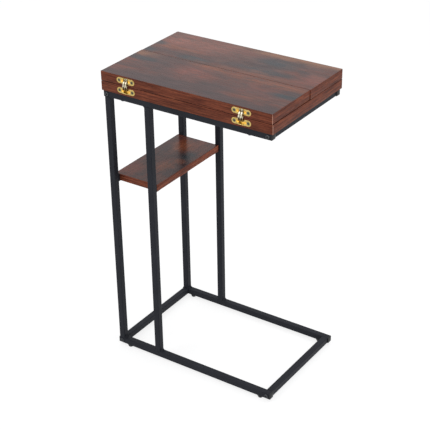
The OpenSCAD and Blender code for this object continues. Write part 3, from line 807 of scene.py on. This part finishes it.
pocket = pocket_tool()
print("pocket tool faces:", len(pocket.data.polygons))


def cut_pockets(piece, side, leaf):
    """Cut both hinge pockets of one long edge into a piece."""
    for x in HINGE_XS:
        combine(piece, copy_of(pocket, "pocket_copy", at_hinge(x, side, leaf)), "DIFFERENCE")


# %% A laminated slab
HAIRLINE = 0.12  # the fine bevel of the boards' edges


def slab(name, low, high, finish, edges):
    """A laminated board, cut for its hinges. Its cut sides show chipboard."""
    (x0, y0, z0), (x1, y1, z1) = low, high
    board = box(name, (x0 + BAND_T, y0 + BAND_T, z0), (x1 - BAND_T, y1 - BAND_T, z1))
    soften(board, HAIRLINE, segments=1)
    for side, leaf in edges:
        cut_pockets(board, side, leaf)

    def unprinted(face):
        inside = z0 + 0.2 <= face.center.z / MM <= z1 - 0.2
        return inside or abs(face.normal.z) <= 0.5

    return mark_faces(board, finish, (chipboard, unprinted))


# %% Place the boards
half_l, half_d = TOP_L / 2, TOP_D / 2
LEAF_TOP = LEAF_Z + BOARD_T
FIXED_BOX = ((-half_l, -half_d, BOARD_Z), (half_l, half_d, BOARD_Z + BOARD_T))
FRONT_BOX = ((-half_l, -half_d, LEAF_Z), (LEAF_L - half_l, FRONT_LEAF_D - half_d, LEAF_TOP))
BACK_BOX = ((half_l - LEAF_L, half_d - BACK_LEAF_D, LEAF_Z), (half_l, half_d, LEAF_TOP))
# CAD name, piece name, corners, hinged edges as (side, is a leaf), print, body
BOARDS = [
    ("base", "fixed_board", FIXED_BOX, [(-1, False), (1, False)], base_print, "frame"),
    ("front_leaf", "front_leaf", FRONT_BOX, [(-1, True)], front_print, "front_leaf"),
    ("back_leaf", "back_leaf", BACK_BOX, [(1, True)], back_print, "back_leaf"),
    ("shelf", "shelf_panel", SHELF, [], shelf_print, "frame"),
]
for stem, name, corners, edges, finish, body in BOARDS:
    board = slab(name, *corners, finish, edges)
    dress(board, finish, body, stem + "_board")

# %% [markdown]
# ## Edge banding
# Each board has four strips. The long ones run over the ends of the short ones. Real strips
# are trimmed after gluing, and the trimmer leaves a small round on every outer edge, which
# catches a thin line of light. The boards' lacquered print runs on over the strips' cut
# edges. At the front right corner of the top, the strips' ends get a light tan instead of
# their print: a painted highlight line. The strips of the long edges share the hinge pockets.

# %% Strips of edge banding
STRIP_ROUND, LIT_CORNER_W = 0.25, 1.3


def strip(name, low, high, outer):
    """One strip, its edges rounded where their two ends pass a test."""
    return soften(box(name, low, high), STRIP_ROUND, outer, segments=3)


def banding(name, low, high, edges):
    """The four strips round a board."""
    (x0, y0, z0), (x1, y1, z1) = low, high
    strips = []
    for side, y in ((-1, y0), (1, y1)):
        near, far = sorted((y, y - side * BAND_T))
        made = strip(
            name + "_long",
            (x0, near, z0),
            (x1, far, z1),
            lambda a, b: min(abs(a.y - y * MM), abs(b.y - y * MM)) < TOUCH,
        )
        for edge_side, leaf in edges:
            if edge_side == side:
                cut_pockets(made, side, leaf)
        strips.append(made)
    for side, x in ((-1, x0), (1, x1)):
        near, far = sorted((x, x - side * BAND_T))
        made = strip(
            name + "_short",
            (near, y0 + BAND_T + BAND_JOINT, z0),
            (far, y1 - BAND_T - BAND_JOINT, z1),
            lambda a, b: max(abs(a.x - x * MM), abs(b.x - x * MM), abs(a.z - b.z)) < TOUCH,
        )
        strips.append(made)
    return joined(name, strips)


def on_lit_corner(face):
    """The front right corner of the top, whose strips' ends get a painted highlight line."""
    x, y, _ = face.center / MM
    at_corner = x > TOP_L / 2 - LIT_CORNER_W and y < -TOP_D / 2 + BAND_T + TOUCH / MM
    return at_corner and face.normal.x > 0.1 and abs(face.normal.z) < 0.5


# %% Place the strips
for stem, board_name, corners, edges, top_print, body in BOARDS:
    name = board_name.replace("_panel", "") + "_banding"
    finish = shelf_lit_edge_print if stem == "shelf" else edge_print
    strips = banding(name, *corners, edges)
    # the strips' ends at the top's front right corner get the painted highlight
    mark_faces(strips, finish, (corner_highlight, on_lit_corner), (top_print, lambda f: abs(f.normal.z) > 0.9))
    dress(strips, finish, body, stem + "_edge_bands")
bpy.data.objects.remove(pocket)

# %% [markdown]
# ## Hinge halves
# A concealed hinge half is one casting: a plate with round ends, let into the board's edge,
# and a cup behind it that holds the pin. The mouth of the cup has sloped lips, and beside it
# the plate dips a little, so that the links have room. The plate is a round bar, the cup a
# box, and mouth, dips and countersinks are cut out with tools of the same simple kinds. Deep
# in the mouth of the leaf's half stand three ribs, clear of the folded and opened links. The
# dips take a slightly smoother brass that is also brighter and yellower, a painted glint, and
# the ribs a near-white nickel, painted light in the shaded mouth.

# %% The mouth of a hinge half
LIP_DEPTH, LIP_GROW = 0.35, 1.35


def mouth_tool():
    """A box that widens where it leaves the plate's face, for a mouth with sloped lips."""
    half_l, half_h = MOUTH_L / 2, (MOUTH_FAR - MOUTH_NEAR) / 2
    middle = -(MOUTH_NEAR + MOUTH_FAR) / 2
    tool = box("mouth_tool", (-half_l, EDGE_IN - 1, -MOUTH_FAR), (half_l, MOUTH_IN, -MOUTH_NEAR))
    soften(tool, 0.5, lambda a, b: abs(a.y - b.y) > 1 * MM, segments=2)
    open_all(tool)
    lip = (0, (EDGE_IN + LIP_DEPTH) * MM, 0)
    bpy.ops.mesh.bisect(plane_co=lip, plane_no=(0, 1, 0))
    pick(tool, "VERT", lambda v: v.y < EDGE_IN * MM)
    bpy.ops.transform.resize(
        value=((half_l + LIP_GROW) / half_l, 1, (half_h + LIP_GROW) / half_h),
        center_override=(0, 0, middle * MM),
    )
    rest()
    return tool


# %% One hinge half
PLATE_ROUND, CUP_ROUND = 0.45, 0.8
DIP_X, DIP_R, DIP_FLOOR_R, DIP_DEPTH = 8.5, 2.9, 1.2, 1.3
RIBS, RIB_NEAR, RIB_LOW = ((-5.5, -4.1), (-0.95, 0.95), (4.1, 5.5)), 2.9, -9.4


def in_dip(face):
    """A face inside one of the two dips."""
    side = math.copysign(1, face.center.x)
    near = from_axis(face, side * DIP_X, -PLATE_MID) < DIP_R - 0.1
    return near and EDGE_IN + 0.02 < face.center.y / MM < EDGE_IN + DIP_DEPTH + 0.05


def on_rib(face):
    """A face of one of the ribs in the mouth."""
    x, y, z = face.center / MM
    within = any(left - 0.05 < x < right + 0.05 for left, right in RIBS)
    deep = RIB_NEAR - 0.05 < y < MOUTH_IN - 0.05
    return within and deep and -MOUTH_FAR + 0.2 < z < RIB_LOW + 0.05


def hinge_half(ribbed):
    """Plate and cup of a hinge half below the hinge axis, with or without ribs inside."""
    half = round_bar("hinge_half", PLATE_L, PLATE_W, EDGE_IN, EDGE_IN + PLATE_T, -PLATE_MID)
    soften(half, PLATE_ROUND, lambda a, b: max(a.y, b.y) < EDGE_IN * MM + TOUCH, segments=3)
    cup = box(
        "cup",
        (-CUP_W / 2, EDGE_IN + PLATE_T / 2, -PLATE_MID - CUP_H / 2),
        (CUP_W / 2, CUP_IN, -PLATE_MID + CUP_H / 2),
    )
    soften(cup, CUP_ROUND, lambda a, b: min(a.y, b.y) > CUP_IN * MM - TOUCH, segments=3)
    combine(half, cup, "UNION")
    for side in (-1, 1):
        start = (side * DIP_X, EDGE_IN - 0.3, -PLATE_MID)
        dip = rod("dip", DIP_R, start, DIP_DEPTH + 0.3, "Y", 40, DIP_FLOOR_R)
        combine(half, dip, "DIFFERENCE")
    combine(half, mouth_tool(), "DIFFERENCE")
    for left, right in RIBS if ribbed else ():
        rib = box("rib", (left, RIB_NEAR, -MOUTH_FAR + 0.3), (right, MOUTH_IN + 0.3, RIB_LOW))
        combine(half, rib, "UNION")
    for side in (-1, 1):
        x = side * SCREW_PITCH / 2
        mouth_r, throat_r = SCREW_HEAD_D / 2 + HEAD_PLAY, SCREW_D / 2 + PILOT_PLAY
        start = (x, EDGE_IN - 0.2, -PLATE_MID)
        combine(half, rod("countersink", mouth_r, start, 2.0, "Y", 48, throat_r), "DIFFERENCE")
        start = (x, EDGE_IN - 0.5, -PLATE_MID)
        combine(half, rod("hole", SCREW_D / 2 + HOLE_PLAY, start, 4.5, "Y", 48), "DIFFERENCE")
    # the dips get brass with a painted glint, the ribs nickel with painted light
    return mark_faces(half, hinge_brass, (dip_glint_brass, in_dip), (rib_nickel_painted_light, on_rib))


halves = {False: hinge_half(False), True: hinge_half(True)}
print("hinge halves:", [len(h.data.polygons) for h in halves.values()], "faces")

# %% [markdown]
# ## Hinge screws
# Small countersunk wood screws with a cross recess. The head is a cone with a slightly domed
# face, and the recess is cut by two crossed bars that narrow inwards, like a driver's tip.

# %% The cross recess
NARROWING = 0.55


def cross_tool(span, depth, slot, x, near, z):
    """Two crossed bars that narrow inwards, and a cone where they meet."""
    bars = []
    for size in ((span, slot), (slot, span)):
        bar = box(
            "recess_bar",
            (x - size[0] / 2, near - 0.4, z - size[1] / 2),
            (x + size[0] / 2, near + depth, z + size[1] / 2),
        )
        pick(bar, "VERT", lambda v: v.y > near * MM)
        bpy.ops.transform.resize(
            value=(NARROWING, 1, NARROWING), center_override=(x * MM, 0, z * MM)
        )
        rest()
        bars.append(bar)
    tool = combine(bars[0], bars[1], "UNION")
    point = rod("recess_point", slot * 1.1, (x, near - 0.3, z), depth + 0.5, "Y", 16, 0.2)
    return combine(tool, point, "UNION")


# %% The tip of a screw
def draw_tip(length, share, centre):
    """Draw the selected end of a shank out to a tip, and leave edit mode."""
    bpy.ops.mesh.extrude_region_move(TRANSFORM_OT_translate={"value": (0, length * MM, 0)})
    bpy.ops.transform.resize(value=(share, 1, share), center_override=Vector(centre) * MM)
    rest()


# %% One countersunk screw
DOME_STEPS = ((0.35, 0.12), (1.2, 0.06))  # inset, rise


def hinge_screw(x):
    """A screw in the plate's hole at x, drawn below the hinge axis."""
    head_h = (SCREW_HEAD_D - SCREW_D) / 2
    start = (x, EDGE_IN, -PLATE_MID)
    screw = rod("hinge_screw", SCREW_HEAD_D / 2, start, head_h, "Y", 48, SCREW_D / 2)
    pick(screw, "FACE", lambda v: v.y < EDGE_IN * MM + TOUCH)
    for inset, rise in DOME_STEPS:
        bpy.ops.mesh.inset(thickness=inset * MM)
        bpy.ops.transform.translate(value=(0, -rise * MM, 0))
    rest()
    start = (x, EDGE_IN + head_h - 0.1, -PLATE_MID)
    shank = rod("shank", SCREW_D / 2, start, SCREW_L - head_h - 1.9, "Y", 24)
    pick(shank, "FACE", lambda v: v.y > (EDGE_IN + SCREW_L - 2.1) * MM)
    draw_tip(2, 0.15, (x, 0, -PLATE_MID))
    combine(screw, shank, "UNION")
    combine(screw, cross_tool(4.3, 1.3, 1.0, x, EDGE_IN - 0.18, -PLATE_MID), "DIFFERENCE")

    def in_cross(face):
        y = face.center.y / MM - EDGE_IN
        on_face = face.normal.y < -0.9 and y < 0.05
        return y < 1.3 and from_axis(face, x, -PLATE_MID) < 2.2 and not on_face

    # the cross recess gets the painted shade
    return mark_faces(screw, screw_steel, (recess_shade_finish, in_cross))


screws = joined("hinge_screws", [hinge_screw(side * SCREW_PITCH / 2) for side in (-1, 1)])
print("pair of hinge screws:", len(screws.data.polygons), "faces")

# %% Place the hinge halves and their screws
for side, edge in ((-1, "front"), (1, "back")):
    for leaf, owner, body in ((False, "board", "frame"), (True, "leaf", edge + "_leaf")):
        for model, kind, finish, node in (
            (halves[leaf], "halves", hinge_brass, "cups"),
            (screws, "screw_set", screw_steel, "screws"),
        ):
            name = f"{edge}_{owner}_hinge_{kind}"
            pair = joined(name, [copy_of(model, name, at_hinge(x, side, leaf)) for x in HINGE_XS])
            dress(pair, finish, body, f"{edge}_{owner}_hinge_{node}", angle=25)
for model in (*halves.values(), screws):
    bpy.data.objects.remove(model)

# %% [markdown]
# ## Links
# The links are stamped from steel plate: flat, with edges that are broken by tumbling. Their
# outline is exact in the CAD part, with the hooks and the pin holes, so a merged copy is the
# surest start, and a small bevel on its sharp edges does the rest.

# %% Links from the CAD outline
LINK_ROUND = 0.08


def eased_copy(node, name, width):
    """A merged copy of a CAD node with its sharp edges broken."""
    made = copy_of(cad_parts[node], name)
    open_all(made)
    bpy.ops.mesh.remove_doubles(threshold=0.01 * MM)
    bpy.ops.mesh.dissolve_limited(angle_limit=math.radians(1))
    rest()
    made.data.materials.clear()
    return soften(made, width, segments=1)


# Each set of links rides on the body of the same name
for edge in ("front", "back"):
    # the lower links take the nickel with the painted shade low down
    for which, finish in (("lower", shaded_nickel), ("upper", link_nickel)):
        name, node = f"{edge}_{which}_links", f"{edge}_{which}_link_plates"
        dress(eased_copy(node, name, LINK_ROUND), finish, name, node)
    for hidden in ("board_hinge_pins", "leaf_hinge_pins", "link_rivets"):
        coat(f"{edge}_{hidden}", zinc_plate)

# %% [markdown]
# ## Frame
# The rails, crossbars and uprights are lengths of the same square tube with rounded corners.
# The CAD solids have exactly that shape, so they stay and only get the powder coat.

# %% Coat the tubes
TUBES = [
    "front_base_rail", "back_base_rail", "left_base_crossbar", "right_base_crossbar",
    "front_top_rail", "back_top_rail", "left_top_crossbar", "right_top_crossbar",
    "front_left_upright", "front_inner_upright", "back_left_upright", "back_inner_upright",
]
for node in TUBES:
    coat(node, frame_coat)
coat("crossbar_nut_plugs", zinc_plate)
print("coated tubes:", len(TUBES))

# %% [markdown]
# ## Weld beads
# Where an upright meets a rail, a short fillet weld shows in the corner. A bead is laid in
# small pools that overlap like coins. The start is a cube in the corner: a concave bevel
# turns its outer edge into the fillet, cuts across it make the rings, and every second ring
# is pushed outwards for the ripples.

# %% One weld bead
WELD_LEG, WELD_RINGS, WELD_RIPPLE = 3.5, 13, 0.16


def weld_bead():
    """A bead along Y in the corner between +X and +Z, about 10 mm long."""
    run = TUBE - 2 * TUBE_R
    cuts = [-run / 2 + run * i / WELD_RINGS for i in range(1, WELD_RINGS)]
    bead = box("weld_bead", (0, -run / 2, 0), (WELD_LEG, run / 2, WELD_LEG))
    soften(
        bead,
        WELD_LEG - 0.25,
        lambda a, b: min(a.x, b.x, a.z, b.z) > 1 * MM,
        segments=6,
        profile=0.2,
    )
    for y in cuts:
        open_all(bead)
        bpy.ops.mesh.bisect(plane_co=(0, y * MM, 0), plane_no=(0, 1, 0))
    rest()
    for y in cuts[::2]:
        pick(bead, "VERT", lambda v: abs(v.y / MM - y) < 0.05 and min(v.x, v.z) > 0.1 * MM)
        bpy.ops.transform.translate(value=(WELD_RIPPLE * MM, 0, WELD_RIPPLE * MM))
        rest()
    return bead


# %% Place the beads
UPRIGHT_XS = (-195, -97.5)
RAIL_MID = RAIL_Y - TUBE / 2
bead = weld_bead()
base_beads, top_beads = [], []
for side in (-1, 1):
    for x in UPRIGHT_XS:
        spot = moved_to(x + TUBE, side * RAIL_MID, RAIL_ZS[0] + TUBE)
        base_beads.append(copy_of(bead, "bead", spot))
    spot = moved_to(UPRIGHT_XS[1], side * RAIL_MID, RAIL_ZS[1])
    top_beads.append(copy_of(bead, "bead", spot @ mirror_of(x=-1, z=-1)))
for level, beads in (("base", base_beads), ("top", top_beads)):
    piece = joined(level + "_weld_beads", beads)
    dress(piece, frame_coat, "frame", level + "_welds", angle=60)
bpy.data.objects.remove(bead)

# %% [markdown]
# ## End caps
# Each rail end is closed by a moulded cap with a gently domed head and a plug that grips the
# tube from inside. The head is a cube with rounded long edges. Its outer face is extruded and
# drawn in again and again, and each ring is moved out along the dome.

# %% The parts of an end cap
CAP_T, CAP_STEP = 1.2, 0.35
DOME = ((6.4, 1.86), (5.3, 2.27), (4.0, 2.58), (2.5, 2.83), (1.1, 2.97))  # half width, reach
PLUG_L, SLOT_W, EYE_R = 9, 5.4, 2.75


def cap_head():
    """The domed head of a cap whose inner face is at x = 0."""
    width = TUBE / 2
    head = box("end_cap", (0, -width, -width), (CAP_T, width, width))
    soften(head, TUBE_R, lambda a, b: abs(a.x - b.x) > 0.5 * MM, segments=6)
    pick(head, "FACE", lambda v: v.x > CAP_T * MM - TOUCH)
    bpy.ops.mesh.extrude_region_move(TRANSFORM_OT_translate={"value": (CAP_STEP * MM, 0, 0)})
    out = CAP_T + CAP_STEP
    for next_width, next_out in DOME:
        bpy.ops.mesh.extrude_region_move()
        ratio = next_width / width
        bpy.ops.transform.resize(value=(1, ratio, ratio), center_override=(0, 0, 0))
        bpy.ops.transform.translate(value=((next_out - out) * MM, 0, 0))
        width, out = next_width, next_out
    rest()
    return head


def cap_plug():
    """The split plug that grips the tube from inside."""
    width = TUBE / 2 - TUBE_WALL - 0.05
    plug = box("plug", (-PLUG_L, -width, -width), (0.2, width, width))
    soften(plug, 0.6, lambda a, b: max(a.x, b.x) < (0.1 - PLUG_L) * MM, segments=2)
    low = (-PLUG_L - 1, -width - 1, -SLOT_W / 2)
    combine(plug, box("plug_slot", low, (-TUBE / 2, width + 1, SLOT_W / 2)), "DIFFERENCE")
    start = (-TUBE / 2, -width - 1, 0)
    return combine(plug, rod("plug_eye", EYE_R, start, 2 * width + 2, "Y", 32), "DIFFERENCE")


# %% Place the end caps
def at_corners(model, name, x, y, z):
    """Copies of a shape at the four rail ends, mirrored left to right and front to back."""
    return [
        copy_of(model, name, moved_to(sx * x, sy * y, z) @ mirror_of(x=sx, y=sy))
        for sx in (-1, 1)
        for sy in (-1, 1)
    ]


cap = combine(cap_head(), cap_plug(), "UNION")
for z, level in zip(RAIL_ZS, ("base", "top")):
    caps = joined(level + "_end_caps", at_corners(cap, "cap", FRAME_X, RAIL_MID, z + TUBE / 2))
    dress(caps, moulded_black, "frame", level + "_rail_end_caps")
bpy.data.objects.remove(cap)

# %% [markdown]
# ## Glides
# Four push-in glides keep the steel off the floor. A glide is round, so it could be spun from
# a profile. A cone does the same with less: its sole is the narrow end, its top is extruded
# to the rim, and from there ring after ring makes the ribbed stem that holds in the rail.

# %% Glides
SOLE_R, RIM_R, RIM_FROM, GLIDE_H, GLIDE_IN = 4.7, 6.5, 4.2, 6, 25
STEM_NARROW, STEM_WIDE = (1.4, 0.86), (1.6, 1.16)  # rise, swell
STEM = ((1.3, 1.0), *(STEM_NARROW, STEM_WIDE) * 2, STEM_NARROW, (2.7, 0.9))


def glide():
    """A glide under a rail, its sole at z = 0."""
    foot = rod("glide", SOLE_R, (0, 0, 0), RIM_FROM, "Z", 48, RIM_R)
    pick(foot, "FACE", lambda v: v.z > (RIM_FROM - 0.1) * MM)
    rim = (0, 0, (GLIDE_H - RIM_FROM) * MM)
    bpy.ops.mesh.extrude_region_move(TRANSFORM_OT_translate={"value": rim})
    rest()
    soften(foot, 0.5, lambda a, b: max(a.z, b.z) < 0.1 * MM, segments=3)
    soften(foot, 0.3, lambda a, b: min(a.z, b.z) > (GLIDE_H - 0.1) * MM, segments=2)
    pick(foot, "FACE", lambda v: v.z > (GLIDE_H - 0.1) * MM)
    bpy.ops.mesh.inset(thickness=3.2 * MM)
    for rise, swell in STEM:
        bpy.ops.mesh.extrude_region_move(TRANSFORM_OT_translate={"value": (0, 0, rise * MM)})
        bpy.ops.transform.resize(value=(swell, swell, 1), center_override=(0, 0, 0))
    rest()
    return foot


foot = glide()
feet = joined("glides", at_corners(foot, "glide_copy", FRAME_X - GLIDE_IN, RAIL_MID, 0))
dress(feet, moulded_black, "frame", "glide_feet")
bpy.data.objects.remove(foot)

# %% [markdown]
# ## Bolts and screws of the frame
# A button-head bolt runs through each rail end into the crossbar. Under the top rails, pan
# head screws hold the board, and small ones hold the shelf on its brackets. The heads are
# cylinders with a large round on the rim. Bolts get a six-sided socket, screws a cross.

# %% One button-head bolt
BOLT_HEAD_R, BOLT_HEAD_H, BOLT_R, SOCKET_R = 4.5, 2.4, 2.5, 1.75


def button_bolt():
    """A bolt along +Y whose head stands out from y = 0 towards -Y."""
    bolt = rod("bolt", BOLT_HEAD_R, (0, -BOLT_HEAD_H, 0), BOLT_HEAD_H, "Y", 48)
    soften(bolt, 1.7, lambda a, b: max(a.y, b.y) < (0.1 - BOLT_HEAD_H) * MM, segments=5)
    combine(bolt, rod("bolt_shank", BOLT_R, (0, -0.1, 0), TUBE + 10.1, "Y", 32), "UNION")
    combine(bolt, rod("socket", SOCKET_R, (0, -3, 0), 2.1, "Y", 6), "DIFFERENCE")

    def in_socket(face):
        return -2.35 < face.center.y / MM < -0.5 and from_axis(face) < SOCKET_R + 0.05

    # the socket gets the painted shade
    return mark_faces(bolt, black_steel, (recess_shade_finish, in_socket))


# %% Place the bolts
model = button_bolt()
bolt = copy_of(model, "bolt_model", mirror_of(y=-1))
bpy.data.objects.remove(model)
bolts = []
for z in RAIL_ZS:
    bolts += at_corners(bolt, "bolt_copy", FRAME_X - TUBE / 2, RAIL_Y, z + TUBE / 2)
dress(joined("rail_bolts", bolts), black_steel, "frame", "frame_bolts")
bpy.data.objects.remove(bolt)

# %% One pan-head screw
def pan_screw(name, shank_d, head_d, head_h, length):
    """A screw along +Z whose head hangs below z = 0."""
    screw = rod(name, head_d / 2, (0, -head_h, 0), head_h, "Y", 40)
    soften(screw, head_h * 0.62, lambda a, b: max(a.y, b.y) < TOUCH - head_h * MM, segments=5)
    shank = rod("shank", shank_d / 2, (0, -0.1, 0), length - 1.4, "Y", 24)
    pick(shank, "FACE", lambda v: v.y > (length - 1.6) * MM)
    draw_tip(1.5, 0.2, (0, 0, 0))
    combine(screw, shank, "UNION")
    span = head_d * 0.58
    combine(screw, cross_tool(span, head_h * 0.6, span * 0.24, 0, -head_h, 0), "DIFFERENCE")

    def in_cross(face):
        below_rim = -0.98 * head_h < face.center.y / MM < -0.2 * head_h
        return below_rim and from_axis(face) < span / 2

    # the cross recess gets the painted shade
    mark_faces(screw, black_steel, (recess_shade_finish, in_cross))
    screw.matrix_world = Matrix.Rotation(math.pi / 2, 4, "X")
    return settle(screw)


# %% Place the board screws
BOARD_SCREW_XS = (-154, 145)
screw = pan_screw("board_screw", 4, 8, 3, TUBE + 7)
copies = [
    copy_of(screw, "screw_copy", moved_to(x, side * RAIL_MID, RAIL_ZS[1]))
    for x in BOARD_SCREW_XS
    for side in (-1, 1)
]
dress(joined("board_screws", copies), black_steel, "frame", "tabletop_screws")
bpy.data.objects.remove(screw)

# %% [markdown]
# ## Shelf brackets
# Four small steel brackets are welded to the inner faces of the uprights. A block fills the
# gap beside the shelf, a flange carries the shelf from below, and a screw goes up through it.
# The start is the flange. A cut across it marks off the block, which is pulled up from there.

# %% One bracket
BRACKET_W, FLANGE_D, FLANGE_T, FLANGE_ROUND = 8, 20, 1.5, 2.5
SHELF_LOW, SHELF_T = SHELF[0][2], SHELF[1][2] - SHELF[0][2]


def bracket(gap):
    """A bracket whose upright face is at y = 0 and whose flange lies on z = 0, along +Y."""
    piece = box("bracket", (0, 0, -FLANGE_T), (BRACKET_W, FLANGE_D, 0))
    soften(
        piece,
        FLANGE_ROUND,
        lambda a, b: abs(a.z - b.z) > 1 * MM and min(a.y, b.y) > (FLANGE_D - 1) * MM,
        segments=5,
    )
    open_all(piece)
    bpy.ops.mesh.bisect(plane_co=(0, gap * MM, 0), plane_no=(0, 1, 0))
    pick(piece, "FACE", lambda v: v.z > -TOUCH and v.y < gap * MM + TOUCH)
    bpy.ops.mesh.extrude_region_move(TRANSFORM_OT_translate={"value": (0, 0, SHELF_T * MM)})
    rest()
    soften(piece, 0.2)
    start = (BRACKET_W / 2, (FLANGE_D + gap) / 2, -FLANGE_T - 1)
    return combine(piece, rod("bracket_hole", 1.7, start, FLANGE_T + 2, "Z", 32), "DIFFERENCE")


# %% Place the brackets and their screws
BRACKET_XS = (-FRAME_X + (TUBE - BRACKET_W) / 2, UPRIGHT_XS[1])
INNER_Y = RAIL_Y - TUBE
FRONT_GAP, BACK_GAP = 6, 1  # from the upright to the shelf
brackets, bracket_screws = [], []
screw = pan_screw("shelf_screw", 3, 6, 1.8, FLANGE_T + 10)
for gap, side in ((FRONT_GAP, -1), (BACK_GAP, 1)):
    model = bracket(gap)
    screw_y = side * (INNER_Y - (FLANGE_D + gap) / 2)
    for x in BRACKET_XS:
        spot = moved_to(x, side * INNER_Y, SHELF_LOW) @ mirror_of(y=-side)
        brackets.append(copy_of(model, "bracket_copy", spot))
        spot = moved_to(x + BRACKET_W / 2, screw_y, SHELF_LOW - FLANGE_T)
        bracket_screws.append(copy_of(screw, "shelf_screw_copy", spot))
    bpy.data.objects.remove(model)
bpy.data.objects.remove(screw)
dress(joined("steel_brackets", brackets), frame_coat, "frame", "shelf_brackets")
screws = joined("bracket_screws", bracket_screws)
dress(screws, black_steel, "frame", "shelf_screws")
